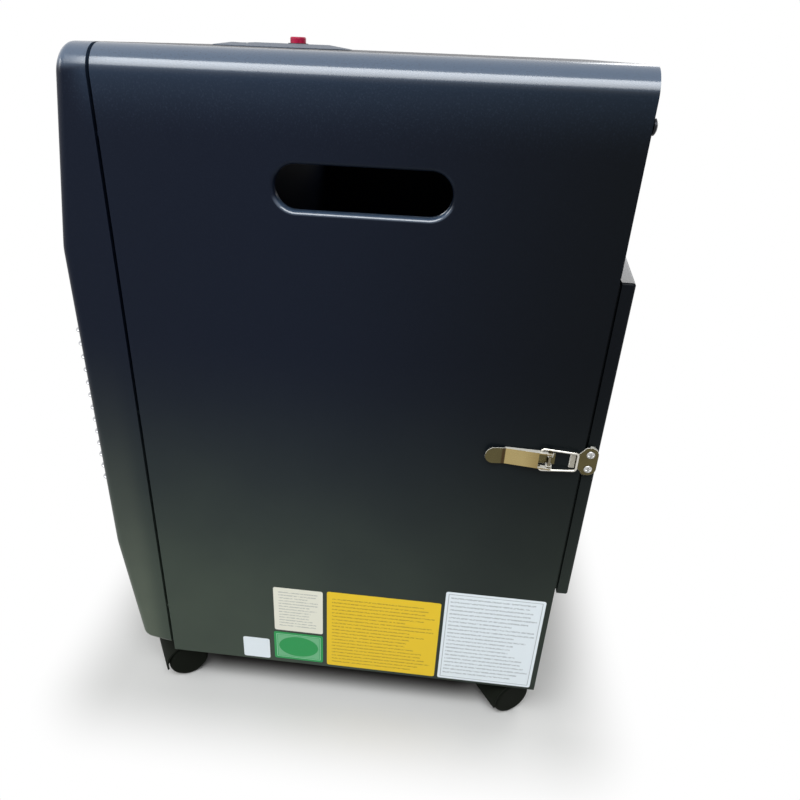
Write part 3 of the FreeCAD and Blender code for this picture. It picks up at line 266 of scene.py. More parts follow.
class HeaterSizes(bpy.types.PropertyGroup):
    """Sizes that a user would change."""

    wire: length("Guard wire", "Diameter of a guard wire", 3.2)
    rod: length("Guard rod", "Diameter of the guard's upright rods", 4.0)
    wire_count: IntProperty(
        name="Guard wires", description="Number of guard wires", default=13, min=2)
    wire_pitch: length("Wire pitch", "Distance between guard wires", 15.0)
    wire_bend: length("Wire bend", "Bend radius of a guard wire", 5.0)
    tie_spacing: length("Tie spacing", "Distance between the middle rods", 130.0)
    bail_wire: length("Latch wire", "Diameter of a latch's wire", 2.4)
    bail_width: length("Latch wire width", "Width of the wire at the lever", 24.5)
    bail_nose: length("Latch wire nose", "Width of the wire at the hook", 19.6)
    latch_tab: length("Latch tab", "Length of a lever's finger tab", 19.5)
    hook_strip: length("Hook strip", "Length of a keeper's hook strip", 7.0)
    slot_length: length("Slot length", "Length of a hand-hold slot", 154.0)
    slot_height: length("Slot height", "Height of a hand-hold slot", 38.5)
    slot_setback: length("Slot setback", "From the wrap's front to the slot's middle", 227.0)
    slot_centre: length("Slot centre", "From the wrap's foot to the slot's middle", 576.0)
    plaque_pitch: length("Plaque pitch", "Distance between burner holes", 2.4)
    plaque_hole: length("Plaque hole", "Diameter of a burner hole", 1.35)
    plaque_margin: length("Plaque margin", "Plain edge round the burner holes", 4.0)
    mark: length("Mark width", "Width of the knob's pointer", 1.6)
    dial_radius: length("Dial radius", "From the knob's middle to the dial's dots", 28.5)


def palette():
    """Colours as they are set now."""
    return bpy.context.scene.heater_colours


def sizes():
    """Sizes as they are set now."""
    return bpy.context.scene.heater_sizes


def slot_edge(paint):
    """Masks of the lower and the upper rolled edge of the hand-hold slots."""
    size = sizes()
    radius = size.slot_height / 2
    straight = size.slot_length / 2 - radius
    along = abs(paint.place.axis(1) - (wrap_low.y + size.slot_setback)) - straight
    along = along.most(0.0)
    up = paint.place.axis(2) - (wrap_low.z + size.slot_centre)
    away = (along * along + up * up).root() - radius
    roll = 1 - away.span(2 * MM, 4 * MM)
    outer = abs(paint.place.axis(0)).span(side_x - 4 * MM, side_x - 2 * MM)
    lower = roll * (1 - up.span(-0.8 * radius, -0.3 * radius))
    upper = roll * outer * up.span(0.3 * radius, 0.8 * radius)
    return lower, upper


def powder_coat():
    """Satin powder coat: fine orange peel and glossy bends, with painted highlights on bends,
    rolled edges and near the top, painted floor light low down and painted shade towards the rear.
    """
    colours = palette()
    paint = Finish("powder_coat", Specular_IOR_Level=0.08, Coat_Roughness=0.14, Coat_IOR=1.7)
    depth = paint.place.axis(1)
    height = paint.place.axis(2)
    across = abs(paint.place.axis(0))
    blotch = paint.noise(9.0, 3.0)
    grit = paint.noise(620.0, 2.0)
    peel = paint.noise(1500.0, 2.0)
    grain = paint.noise(4200.0, 1.0)

    side = across.span(side_x - 45 * MM, side_x - 6 * MM)
    # painted shade: the sides' paint darkens towards the rear
    rear = depth.span(wrap_low.y + 120 * MM, wrap_high.y + 50 * MM) * side
    fascia = 1 - depth.span(wrap_low.y - 30 * MM, wrap_low.y - 3 * MM)
    front = 1 - depth.span(wrap_low.y + 50 * MM, wrap_high.y) * 0.5
    # painted floor light: paint lighter towards the floor, more on the sides and towards the front
    low = (1 - height.span(wrap_low.z, wrap_low.z + 440 * MM)) * front * (0.25 + side * 0.75)
    corner = across.span(side_x - 40 * MM, side_x - 12 * MM)
    # bend marks the top bend for its painted highlight and for the coat
    bend = height.span(wrap_high.z - 22 * MM, wrap_high.z - 11 * MM) * corner
    # painted highlight: the sides grow lighter towards the top
    top_highlight = height.span(wrap_high.z - 80 * MM, wrap_high.z - 12 * MM) * (1 - fascia) * side
    lip, brow = slot_edge(paint)

    # painted highlights on the top bend and the slots' lower lips, and painted light on the slots'
    # upper rolls, which lie in shade
    edges = (bend * 0.8).most(lip * 0.55 + brow * 0.06)
    highlight_share = (top_highlight * top_highlight * (0.22 - rear * 0.08)).most(edges)
    shaded = paint.mix(rear, colours.paint[:], colours.painted_rear_shade[:])
    clean = paint.mix(highlight_share, shaded, colours.painted_highlight[:])
    # painted floor light, at the fascia's foot in its own tone
    floor_light_tone = paint.mix(fascia, colours.painted_floor_light[:], colours.painted_foot_light[:])
    floor_lit = paint.mix(low * (0.7 + blotch * 0.6), clean, floor_light_tone)
    # specks of the powder coat, stronger under the painted top highlight and fainter in the painted
    # rear shade
    fine = grain.span(0.52, 0.78) * (0.25 + top_highlight * 0.25)
    coarse = grit.span(0.5, 0.75) * (0.06 + top_highlight * 0.4)
    speck = (fine + coarse) * (1 - rear * 0.6)
    paint.feed("Base Color", paint.mix(speck, floor_lit, srgb(46, 55, 70)))
    paint.feed("Roughness", 0.27 + peel * 0.08 + blotch * 0.06)
    paint.feed("Coat Weight", bend.most(lip) * 0.9)
    paint.bump(peel * 0.75 + grain * 0.25, 0.02 * MM, 0.35)
    return paint.material


def plated(name, colour, roughness, grain=(1.0, 1.0, 1.0)):
    """Plated or bare metal with fine drawing marks and a slightly cloudy surface."""
    metal = Finish(name, Metallic=1.0)
    marks = metal.noise(900.0, 3.0, stretch=grain)
    cloud = metal.noise(40.0, 3.0)
    shade = tuple(channel * 0.72 for channel in colour)
    metal.feed("Base Color", metal.mix(cloud * 0.55 + marks * 0.3, colour, shade))
    metal.feed("Roughness", roughness + marks * 0.06 + cloud * 0.05)
    metal.bump(marks, 0.02 * MM, 0.35)
    return metal.material


def zinc():
    """Galvanised sheet with a faint spangle."""
    sheet = Finish("zinc_sheet", Metallic=0.9)
    spangle = sheet.cells(90.0)
    cloud = sheet.noise(25.0, 4.0)
    tone = sheet.mix(spangle * 0.5 + cloud * 0.4, srgb(176, 180, 184), srgb(120, 125, 130))
    sheet.feed("Base Color", tone)
    sheet.feed("Roughness", 0.34 + spangle * 0.12 + cloud * 0.1)
    sheet.bump(spangle, 0.03 * MM, 0.3)
    return sheet.material


def moulded(name, colour, roughness, texture, depth, shine=0.45):
    """Moulded plastic with a spark-eroded texture and slight flow marks."""
    plastic = Finish(name, Specular_IOR_Level=shine)
    spark = plastic.noise(texture, 2.0)
    flow = plastic.noise(30.0, 3.0)
    pale = tuple(min(1.0, channel * 1.5 + 0.004) for channel in colour)
    plastic.feed("Base Color", plastic.mix(flow * 0.4 + spark * 0.25, colour, pale))
    plastic.feed("Roughness", roughness + spark * 0.12 + flow * 0.05)
    plastic.bump(spark, depth, 0.4)
    return plastic.material


def mark_paint(name):
    """White marking paint, with a little wear."""
    white = Finish(name, Specular_IOR_Level=0.3)
    wear = white.noise(700.0, 3.0)
    tone = white.mix(wear.span(0.5, 0.8), srgb(226, 226, 222), srgb(188, 188, 184))
    white.feed("Base Color", tone)
    white.feed("Roughness", 0.5 + wear * 0.2)
    return white.material


def ceramic(name, front):
    """Porous burner ceramic, scorched in its holes behind the front."""
    body = Finish(name, Roughness=0.92, Specular_IOR_Level=0.2)
    pores = body.noise(1800.0, 3.0)
    cloud = body.noise(22.0, 4.0)
    tone = body.mix(cloud * 0.7, srgb(226, 220, 206), srgb(196, 180, 154))
    clay = body.mix(pores.span(0.45, 0.8) * 0.4, tone, srgb(160, 146, 126))
    scorch = body.place.axis(1).span(front + 0.3 * MM, front + 1.6 * MM)
    body.feed("Base Color", body.mix(scorch * 0.85, clay, srgb(70, 52, 40)))
    body.bump(pores, 0.12 * MM, 0.5)
    return body.material


def label_paper(name, paper, ink, centre, half, ruled, border):
    """Blank coated label, with a thin rounded border and faint rules of uneven length if asked."""
    label = Finish(name, Specular_IOR_Level=0.4)
    across = label.place.axis(1) - centre[0]
    up = label.place.axis(2) - centre[1]
    corner = 4 * MM
    over_y = abs(across) - (half[0] - corner)
    over_z = abs(up) - (half[1] - corner)
    round_y = over_y.most(0.0)
    round_z = over_z.most(0.0)
    beyond = (round_y * round_y + round_z * round_z).root()
    inside = corner - beyond - over_y.most(over_z).least(0.0)
    mask = inside.above(3 * MM) * inside.below(3.8 * MM) * border
    if border and not ruled:
        wide = across / (half[0] - 6 * MM)
        tall = up / (half[1] - 6 * MM)
        oval = (wide * wide + tall * tall).root()
        mask = mask + oval.above(1.0) * inside.above(4.6 * MM) * 0.45
    if ruled:
        row = up / ruled
        settings = {"noise_dimensions": "1D"}
        chance = label.node("ShaderNodeTexWhiteNoise", settings, {"W": row.whole()})
        reach = half[0] * (0.4 + chance * 0.6)
        breaks = label.noise(420.0, 1.0, stretch=(1.0, 1.0, 3.0)).span(0.36, 0.5)
        rule = row.wrapped().below(0.36) * inside.above(6 * MM) * across.below(reach) * breaks
        mask = mask + rule * 0.85
    fibre = label.noise(2600.0, 2.0)
    cloud = label.noise(18.0, 3.0)
    tone = tuple(channel * 0.9 for channel in paper)
    base = label.mix(cloud * 0.35 + fibre * 0.2, paper, tone)
    label.feed("Base Color", label.mix(mask * 0.6, base, ink))
    label.feed("Roughness", 0.32 + fibre * 0.12 + cloud * 0.1)
    label.bump(fibre, 0.02 * MM, 0.3)
    return label.material


def link(obj):
    """Puts a new object in the scene."""
    bpy.context.scene.collection.objects.link(obj)
    return obj


def shade_evenly(obj):
    """Keeps large faces flat in the shading beside their rounded edges."""
    even = obj.modifiers.new("even_shade", "WEIGHTED_NORMAL")
    even.weight = SHADE_WEIGHT


def dress(material, *nodes, edge=0.25 * MM, flat=False):
    """Gives CAD nodes a finish, softened edges and even shading."""
    for name in nodes:
        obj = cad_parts[name]
        obj.data.materials.clear()
        obj.data.materials.append(material)
        weld = obj.modifiers.new("weld", "WELD")
        weld.merge_threshold = WELD_GAP
        if flat:
            plane = obj.modifiers.new("whole_faces", "DECIMATE")
            plane.decimate_type = "DISSOLVE"
            plane.angle_limit = FLAT_ANGLE
        if edge:
            bevel = obj.modifiers.new("soft_edge", "BEVEL")
            bevel.limit_method = "ANGLE"
            bevel.angle_limit = EDGE_ANGLE
            bevel.width = edge
            bevel.segments = 2
        shade_evenly(obj)


def merged_copy(node):
    """Bmesh of a CAD node with its loose triangles joined."""
    bm = bmesh.new()
    bm.from_mesh(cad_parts[node].data)
    bmesh.ops.remove_doubles(bm, verts=bm.verts, dist=WELD_GAP)
    return bm


def plain_mesh(name, bm):
    """Mesh from a bmesh, which is freed."""
    mesh = bpy.data.meshes.new(name)
    bm.to_mesh(mesh)
    bm.free()
    return mesh


def crease(mesh, angle=CREASE_ANGLE):
    """Smooth shading apart from the edges past an angle."""
    mesh.shade_smooth()
    mesh.set_sharp_from_angle(angle=angle)


def closed_mesh(name, bm):
    """Mesh from a bmesh with its corners joined and its faces outwards."""
    bmesh.ops.remove_doubles(bm, verts=bm.verts, dist=MERGE_GAP)
    bmesh.ops.recalc_face_normals(bm, faces=bm.faces)
    return plain_mesh(name, bm)


def mesh_piece(name, bm, material, body):
    """A finished piece from a bmesh, riding on one body."""
    mesh = closed_mesh(name, bm)
    crease(mesh)
    mesh.materials.append(material)
    obj = link(bpy.data.objects.new(name, mesh))
    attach(obj, body)


def line_mesh(name, line):
    """Mesh of an open edge chain, as the source of a geometry tree."""
    mesh = bpy.data.meshes.new(name)
    mesh.from_pydata(line, [(i, i + 1) for i in range(len(line) - 1)], [])
    return mesh


def new_tree(name, inputs):
    """Empty geometry tree with named inputs; gives its builder and its input sockets."""
    tree = bpy.data.node_groups.new(name, "GeometryNodeTree")
    sockets = tree.interface
    sockets.new_socket(name="Geometry", in_out="OUTPUT", socket_type="NodeSocketGeometry")
    for label, kind in inputs.items():
        sockets.new_socket(name=label, in_out="INPUT", socket_type="NodeSocket" + kind)
    builder = Builder(tree)
    entry = tree.nodes.new("NodeGroupInput")
    return builder, {label: Signal(builder, entry.outputs[label]) for label in inputs}


def close_tree(builder, geometry, material):
    """Realize Instances and Set Material at the end of a tree."""
    whole = builder.node("GeometryNodeRealizeInstances", {}, {0: geometry})
    painted = builder.node(
        "GeometryNodeSetMaterial", {}, {"Geometry": whole, "Material": material})
    builder.node("NodeGroupOutput", {}, {0: painted})
    return builder.tree


def wire_tree():
    """Bends edge chains round their corners, sweeps them with a circle and repeats the result."""
    bend_steps = 8
    wire_sides = 16
    builder, given = new_tree("swept_wire", {
        "Geometry": "Geometry", "Bend": "Float", "Radius": "Float", "Count": "Int",
        "Step": "Vector", "Material": "Material"})
    chain = builder.node("GeometryNodeMeshToCurve", {}, {0: given["Geometry"]})
    bent = builder.node("GeometryNodeFilletCurve", {"mode": "POLY"}, {
        "Curve": chain, "Count": bend_steps, "Radius": given["Bend"], "Limit Radius": True})
    ring = builder.node("GeometryNodeCurvePrimitiveCircle", {}, {
        "Resolution": wire_sides, "Radius": given["Radius"]})
    tube = builder.node("GeometryNodeCurveToMesh", {}, {
        "Curve": bent, "Profile Curve": ring, "Fill Caps": True})
    smooth = builder.node("GeometryNodeSetShadeSmooth", {}, {"Geometry": tube})
    row = builder.node("GeometryNodeMeshLine", {}, {
        "Count": given["Count"], "Offset": given["Step"]})
    copies = builder.node("GeometryNodeInstanceOnPoints", {}, {
        "Points": row, "Instance": smooth})
    return close_tree(builder, copies, given["Material"])


def seat_tree():
    """One piece on every point, turned to one direction."""
    builder, given = new_tree("seated_copies", {
        "Geometry": "Geometry", "Piece": "Object", "Out": "Vector", "Material": "Material"})
    piece = builder.node("GeometryNodeObjectInfo", {}, {"Object": given["Piece"]})
    turn = builder.node(
        "FunctionNodeAlignRotationToVector", {"axis": "Z"}, {"Vector": given["Out"]})
    copies = builder.node("GeometryNodeInstanceOnPoints", {}, {
        "Points": given["Geometry"], "Instance": piece.other("Geometry"), "Rotation": turn})
    return close_tree(builder, copies, given["Material"])


def tree_named(name, maker):
    """A geometry tree, made the first time it is asked for."""
    return bpy.data.node_groups.get(name) or maker()


def grow(name, tree, source, values, body):
    """Plain mesh from a geometry tree, with its inputs set by socket identifier."""
    obj = link(bpy.data.objects.new(name, source))
    modifier = obj.modifiers.new("grow", "NODES")
    modifier.node_group = tree
    for item in tree.interface.items_tree:
        if item.in_out == "INPUT" and item.name in values:
            modifier[item.identifier] = values[item.name]
    graph = bpy.context.evaluated_depsgraph_get()
    made = bpy.data.meshes.new_from_object(obj.evaluated_get(graph))
    obj.modifiers.clear()
    obj.data = made
    made.name = name
    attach(obj, body)
    return obj


def swept(name, line, material, body, slot, radius, bend=0.0, count=1, step=(0, 0, 0)):
    """Wires along an edge chain."""
    values = {"Bend": bend, "Radius": radius, "Count": count, "Step": step, "Material": material}
    tree = tree_named("swept_wire", wire_tree)
    return grow(name, tree, line_mesh(name + "_chain", line), values, body)


def seated(name, seats, shape, out, material, body):
    """Copies of a shape on seats, turned to one direction."""
    points = bpy.data.meshes.new(name + "_seats")
    points.from_pydata([tuple(seat) for seat in seats], [], [])
    values = {"Piece": shape, "Out": out, "Material": material}
    return grow(name, tree_named("seated_copies", seat_tree), points, values, body)


def screw_head(name, radius, height):
    """Pan head with a cross recess, standing on the origin along Z."""
    turns = 48
    rounding = 0.55
    recess = 0.6 * height
    well_reach = 0.2
    arm_reach = 0.6
    arm_sharpness = 14
    bm = bmesh.new()
    rings = []
    for share in (0.0, 0.12, 0.22, 0.34, 0.46, 0.56, 0.66, 0.8, 0.9, 0.97, 1.0):
        dome = height * (1 - rounding * share ** 3)
        ring = []
        for i in range(turns):
            angle = 2 * math.pi * i / turns
            x, y = math.cos(angle), math.sin(angle)
            sink = 0.0
            if share < well_reach:
                sink = recess
            elif share < arm_reach:
                sink = recess * max(abs(x), abs(y)) ** arm_sharpness
            ring.append(bm.verts.new((radius * share * x, radius * share * y, dome - sink)))
        rings.append(ring)
    foot = [bm.verts.new((vert.co.x, vert.co.y, 0.0)) for vert in rings[-1]]
    rings.append(foot)
    for inner, outer in zip(rings, rings[1:]):
        for i in range(turns):
            j = (i + 1) % turns
            bm.faces.new((inner[i], inner[j], outer[j], outer[i]))
    bm.faces.new(list(reversed(foot)))
    mesh = closed_mesh(name, bm)
    crease(mesh, math.radians(40))
    return bpy.data.objects.new(name, mesh)


def island_boxes(node):
    """Low and high corner of each separate solid of a node."""
    bm = merged_copy(node)
    left = set(bm.verts)
    boxes = []
    while left:
        stack = [left.pop()]
        found = list(stack)
        while stack:
            for edge in stack.pop().link_edges:
                for vert in edge.verts:
                    if vert in left:
                        left.remove(vert)
                        stack.append(vert)
                        found.append(vert)
        low = Vector(min(vert.co[k] for vert in found) for k in range(3))
        high = Vector(max(vert.co[k] for vert in found) for k in range(3))
        boxes.append((low, high))
    bm.free()
    return boxes


def seat_screws(name, node, out, radius, height, material, body, keep=lambda low: True):
    """Cross-recess heads in place of a node's screws; out points away from the seat."""
    out = Vector(out)
    seats = []
    for low, high in island_boxes(node):
        if keep(low):
            middle = (low + high) / 2
            top = max(low.dot(out), high.dot(out))
            seats.append(middle + out * (top - height - middle.dot(out)))
    head = screw_head(name + "_head", radius, height)
    heads = seated(name, seats, head, out, material, body)
    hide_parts(node)


class HEATER_OT_cabinet(bpy.types.Operator):
    """Paint the cabinet sheets and finish the plain sheets inside"""

    bl_idname = "heater.cabinet"
    bl_label = "Cabinet"

    def execute(self, context):
        # the partition gets the dark powder coat too, painted shade that keeps the inside seen
        # through the hand-hold slots dark
        dress(powder_coat(), "cabinet_wrap", "front_fascia", "rear_cover", "rear_upper_panel",
              "partition", flat=True)
        dress(zinc(), "base_tray", "caster_sockets", flat=True)
        return {"FINISHED"}


class HEATER_OT_guard(bpy.types.Operator):
    """Make the wire guard in front of the burner window"""

    bl_idname = "heater.guard"
    bl_label = "Wire guard"

    def execute(self, context):
        size = sizes()
        finish = (plated("guard_chrome", palette().chrome[:], 0.16), "cabinet", "guard_chrome")
        low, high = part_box("wire_guard")
        wire = size.wire / 2
        rod = size.rod / 2
        half = high.x - rod
        front = low.y + wire
        back = high.y - rod
        middle = (low.z + high.z) / 2
        first = middle - size.wire_pitch * (size.wire_count - 1) / 2
        last = 2 * middle - first
        path = [(x, y, first) for x, y in
                ((-half, back), (-half, front), (half, front), (half, back))]
        wires = swept("guard_wires", path, *finish, wire, size.wire_bend, size.wire_count,
                      (0, 0, size.wire_pitch))
        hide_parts("wire_guard")
        upright = [(-half, back, low.z), (-half, back, high.z)]
        swept("guard_rods", upright, *finish, rod, count=2, step=(2 * half, 0, 0))
        overhang = 8 * MM
        weld_depth = 0.5 * MM
        tie_x = -size.tie_spacing / 2
        tie_y = front + wire + rod - weld_depth
        tie = [(tie_x, tie_y, first - overhang), (tie_x, tie_y, last + overhang)]
        swept("guard_ties", tie, *finish, rod, count=2, step=(size.tie_spacing, 0, 0))
        return {"FINISHED"}


def plate_painted_light():
    """Nickel with painted light: golden and olive painted reflections on lever, tab, base and
    keeper, painted highlights on bends and edges.
    """
    colours = palette()
    metal = Finish("aged_nickel", Specular_IOR_Level=0.5)
    tone = metal.node("ShaderNodeAttribute", {"attribute_name": "tone"}, out="Fac")
    marks = metal.noise(900.0, 3.0, stretch=(1.0, 0.15, 1.0))
    cloud = metal.noise(60.0, 3.0)
    low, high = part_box("latch_lever_right")
    along = metal.place.axis(1)
    # the lever's golden tone grows darker towards its rear end
    rear_end_darkening = along.span(high.y - 32 * MM, high.y - 6 * MM) * 0.6
    fold = low.y + sizes().latch_tab - 1.5 * MM
    # darker brown band across the fold between web and tab
    fold_darkening = (1 - abs(along - fold).span(0.5 * MM, 2.5 * MM)) * 0.7
    brown = srgb(62, 40, 26)
    golden = metal.mix(rear_end_darkening + cloud * 0.25 - 0.1, colours.aged_nickel[:], srgb(116, 96, 56))
    olive = metal.mix(cloud, srgb(76, 70, 48), srgb(100, 92, 62))
    plate = metal.mix(
        tone.span(0.1, 0.5), metal.mix(fold_darkening, golden, brown), metal.mix(fold_darkening, olive, brown))
    # painted highlight: bright faces take pale nickel and turn mostly diffuse
    bright = tone.span(0.5, 1.0)
    metal.feed("Base Color", metal.mix(bright, plate, colours.nickel[:]))
    metal.feed("Metallic", 1 - bright * 0.75)
    metal.feed("Roughness", 0.2 + marks * 0.08 + cloud * 0.06)
    metal.bump(marks, 0.02 * MM, 0.35)
    return metal.material


def folded(edge):
    """True for the outer edge between a sheet's face and its upper or lower flange."""
    flange = 0.7
    shortest = 12 * MM
    across = max(abs(face.normal.x) for face in edge.link_faces)
    up = max(abs(face.normal.z) for face in edge.link_faces)
    return across > FACING and up > flange and edge.calc_length() > shortest and edge.is_convex


def latch_sheet(node, body, material, tone_of, bend):
    """Copy of a latch sheet with rounded bends and edges, and a painted-light tone on every face.
    """
    edge_radius = 0.35 * MM
    bm = merged_copy(node)
    bmesh.ops.dissolve_limit(bm, angle_limit=FLAT_ANGLE, verts=bm.verts, edges=bm.edges)
    for radius, bent in ((bend, True), (edge_radius, False)):
        sharp = [edge for edge in bm.edges
                 if edge.is_manifold and edge.calc_face_angle() > EDGE_ANGLE]
        if bent:
            sharp = [edge for edge in sharp if folded(edge)]
        bmesh.ops.bevel(bm, geom=sharp, offset=radius, segments=4, profile=0.5, affect="EDGES",
                        clamp_overlap=True)
    tone = bm.faces.layers.float.new("tone")
    for face in bm.faces:
        face[tone] = tone_of(face.normal, face.calc_center_median())
    mesh = plain_mesh(node + "_sheet", bm)
    mesh.materials.append(material)
    mesh.shade_smooth()
    piece = link(bpy.data.objects.new(node + "_sheet", mesh))
    shade_evenly(piece)
    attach(piece, body)
    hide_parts(node)


class HEATER_OT_latches(bpy.types.Operator):
    """Plate the toggle latches and bend their wires"""

    bl_idname = "heater.latches"
    bl_label = "Toggle latches"

    def execute(self, context):
        nickel = plated("nickel_plate", palette().nickel[:], 0.09, (1.0, 0.15, 1.0))
        painted_plate = plate_painted_light()
        dress(nickel, "latch_rivets", edge=0.3 * MM)
        dress(plated("pin_steel", srgb(132, 124, 104), 0.2), "latch_pins", edge=0.3 * MM)
        for side, out in SIDES:
            self.plate_sheets(side, out, painted_plate)
            self.bend_bail(side, nickel)
        return {"FINISHED"}

    def plate_sheets(self, side, out, painted_plate):
        """Lever, base and keeper of one latch, each face toned by its normal as painted light: 0 is
        a golden painted reflection, 0.5 an olive painted reflection and 1 a bright painted
        highlight.
        """
        size = sizes()
        tab_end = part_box("latch_lever_" + side)[0].y + size.latch_tab
        strip_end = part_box("keeper_" + side)[0].y + size.hook_strip

        # tones by face normal are painted light: golden and olive reflections on the lever, olive
        # shade on the base under the lever, a paler hook strip, bright bends and edges
        def outward(normal):
            return normal.x * out > FACING

        def lever(normal, place):
            if normal.x * out < -0.5:
                return 0.25
            return (0.5 if place.y < tab_end else 0.0) if outward(normal) else 1.0

        def base(normal, place):
            return 0.5 if outward(normal) else 1.0

        def keeper(normal, place):
            return (0.72 if place.y < strip_end else 0.5) if outward(normal) else 1.0

        latch_sheet("latch_lever_" + side, "latch_lever_" + side, painted_plate, lever, 1.5 * MM)
        latch_sheet("latch_base_" + side, "cabinet", painted_plate, base, 0.4 * MM)
        latch_sheet("keeper_" + side, "rear_cover", painted_plate, keeper, 0.4 * MM)

    def bend_bail(self, side, nickel):
        """Wire loop of one latch, from inside the lever to the keeper's hook and back."""
        size = sizes()
        sheet = 1.4 * MM
        name = "latch_bail_" + side
        low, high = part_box(name)
        wire = size.bail_wire / 2
        middle = (low + high) / 2
        start = low.y + wire
        nose = high.y - wire
        lever_low, lever_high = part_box("latch_lever_" + side)
        inside = (lever_high.z - lever_low.z) / 2 - sheet
        lower = [(start, -inside), (start, -size.bail_width / 2), (nose, -size.bail_nose / 2)]
        upper = [(y, -height) for y, height in reversed(lower)]
        path = [(middle.x, y, middle.z + height) for y, height in lower + upper]
        piece = swept(name + "_wire", path, nickel, name, "nickel_plate", wire, 3 * MM)
        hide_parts(name)


class HEATER_OT_screws(bpy.types.Operator):
    """Put cross-recess screws in place"""

    bl_idname = "heater.screws"
    bl_label = "Screws"

    def execute(self, context):
        steel = plated("screw_steel", srgb(198, 198, 196), 0.22)
        dress(steel, "fascia_screws", "valve_screws")
        for side, out in SIDES:
            seat_screws("keeper_screws_" + side, "keeper_screws", (out, 0, 0), 4 * MM, 2.2 * MM,
                        steel, "rear_cover", lambda low: low.x * out > 0)
        black = plated("blacked_steel", srgb(44, 45, 48), 0.3)
        seat_screws("panel_screws", "rear_panel_screws", (0, 1, 0), 6.5 * MM, 3.5 * MM,
                    black, "cabinet")
        return {"FINISHED"}


class HEATER_OT_controls(bpy.types.Operator):
    """Finish the bezel, knob and igniter button"""

    bl_idname = "heater.controls"
    bl_label = "Controls"

    def execute(self, context):
        colours = palette()
        grey = moulded("bezel_plastic", colours.bezel[:], 0.4, 1600.0, 0.05 * MM)
        dress(grey, "control_bezel")
        black = moulded("black_plastic", srgb(22, 22, 23), 0.38, 1600.0, 0.04 * MM)
        dress(black, "control_knob", "piezo_igniter")
        red = moulded("button_plastic", colours.button[:], 0.28, 900.0, 0.02 * MM, shine=0.25)
        dress(red, "igniter_button", edge=0)
        self.mark_knob()
        self.mark_dial()
        return {"FINISHED"}

    def mark_knob(self):
        """Pointer line along the front half of the knob's bar."""
        low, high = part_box("control_knob")
        start = low.y + 5 * MM
        end = (low.y + high.y) / 2 - 4 * MM
        thick = 0.2 * MM
        bm = bmesh.new()
        bmesh.ops.create_cube(bm, size=1.0)
        for vert in bm.verts:
            vert.co.x *= sizes().mark
            vert.co.y = start if vert.co.y < 0 else end
            vert.co.z = high.z + vert.co.z * thick
        paint = mark_paint("pointer_paint")
        mesh_piece("knob_pointer", bm, paint, "control_knob")

    def mark_dial(self):
        """Dots round the knob: off, pilot and three settings, each a little larger."""
        size = sizes()
        low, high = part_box("control_knob")
        above = Vector((0, (low.y + high.y) / 2, 1.0))
        surface = bmesh.new()
        surface.from_mesh(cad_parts["control_bezel"].data)
        tree = BVHTree.FromBMesh(surface)
        surface.free()
        thick = 0.3 * MM
        growth = 0.12 * MM
        radius = size.mark * 0.7
        bm = bmesh.new()
        for turn in (0, 90, 150, 180, 210):
            angle = math.radians(turn)
            arm = Vector((math.sin(angle), -math.cos(angle), 0)) * size.dial_radius
            place, normal = tree.ray_cast(arm + above, Vector((0, 0, -1)))[:2]
            if place is None:
                raise RuntimeError("no bezel under a dial mark")
            upright = normal.to_track_quat("Z", "Y").to_matrix().to_4x4()
            bmesh.ops.create_cone(
                bm, cap_ends=True, segments=20, radius1=radius, radius2=radius, depth=thick,
                matrix=Matrix.Translation(place) @ upright)
            radius += growth
        mesh_piece("dial_dots", bm, mark_paint("dial_paint"), "cabinet")


def hole_tile(name, pitch, radius, depth):
    """Square tile with a round blind hole, its face on the origin along Z."""
    corners = 8
    bm = bmesh.new()
    edge = []
    rim = []
    floor = []
    for i in range(corners):
        angle = 2 * math.pi * i / corners
        across = Vector((math.cos(angle), math.sin(angle), 0.0))
        edge.append(bm.verts.new(across * (pitch / 2 / max(abs(across.x), abs(across.y)))))
        rim.append(bm.verts.new(across * radius))
        floor.append(bm.verts.new(across * radius - Vector((0, 0, depth))))
    for i in range(corners):
        j = (i + 1) % corners
        bm.faces.new((edge[i], edge[j], rim[j], rim[i]))
        bm.faces.new((rim[i], rim[j], floor[j], floor[i]))
    bm.faces.new(floor)
    return bpy.data.objects.new(name, plain_mesh(name, bm))


def close_block(mesh, low, high, corner):
    """Carries the open edge of a front face out to a block's outline, back along Y and shut."""
    face_axes = (0, 2)
    slack = 0.01 * MM
    chamfer = corner * (1 - math.sqrt(0.5))
    middle = (low + high) / 2
    bm = bmesh.new()
    bm.from_mesh(mesh)
    bmesh.ops.remove_doubles(bm, verts=bm.verts, dist=slack)
    rim = [edge for edge in bm.edges if edge.is_boundary]
    field = {k: max(abs(vert.co[k] - middle[k]) for edge in rim for vert in edge.verts) - slack
             for k in face_axes}
    for step in ("outline", "back"):
        grown = bmesh.ops.extrude_edge_only(bm, edges=rim)["geom"]
        rim = [item for item in grown
               if isinstance(item, bmesh.types.BMEdge) and item.is_boundary]
        for vert in {vert for edge in rim for vert in edge.verts}:
            if step == "back":
                vert.co.y = high.y
                continue
            at_edge = [k for k in face_axes if abs(vert.co[k] - middle[k]) > field[k]]
            inset = chamfer if len(at_edge) == len(face_axes) else 0.0
            for k in at_edge:
                vert.co[k] = high[k] - inset if vert.co[k] > middle[k] else low[k] + inset
    bmesh.ops.edgeloop_fill(bm, edges=rim)
    bmesh.ops.recalc_face_normals(bm, faces=bm.faces)
    bm.to_mesh(mesh)
    bm.free()
    crease(mesh)


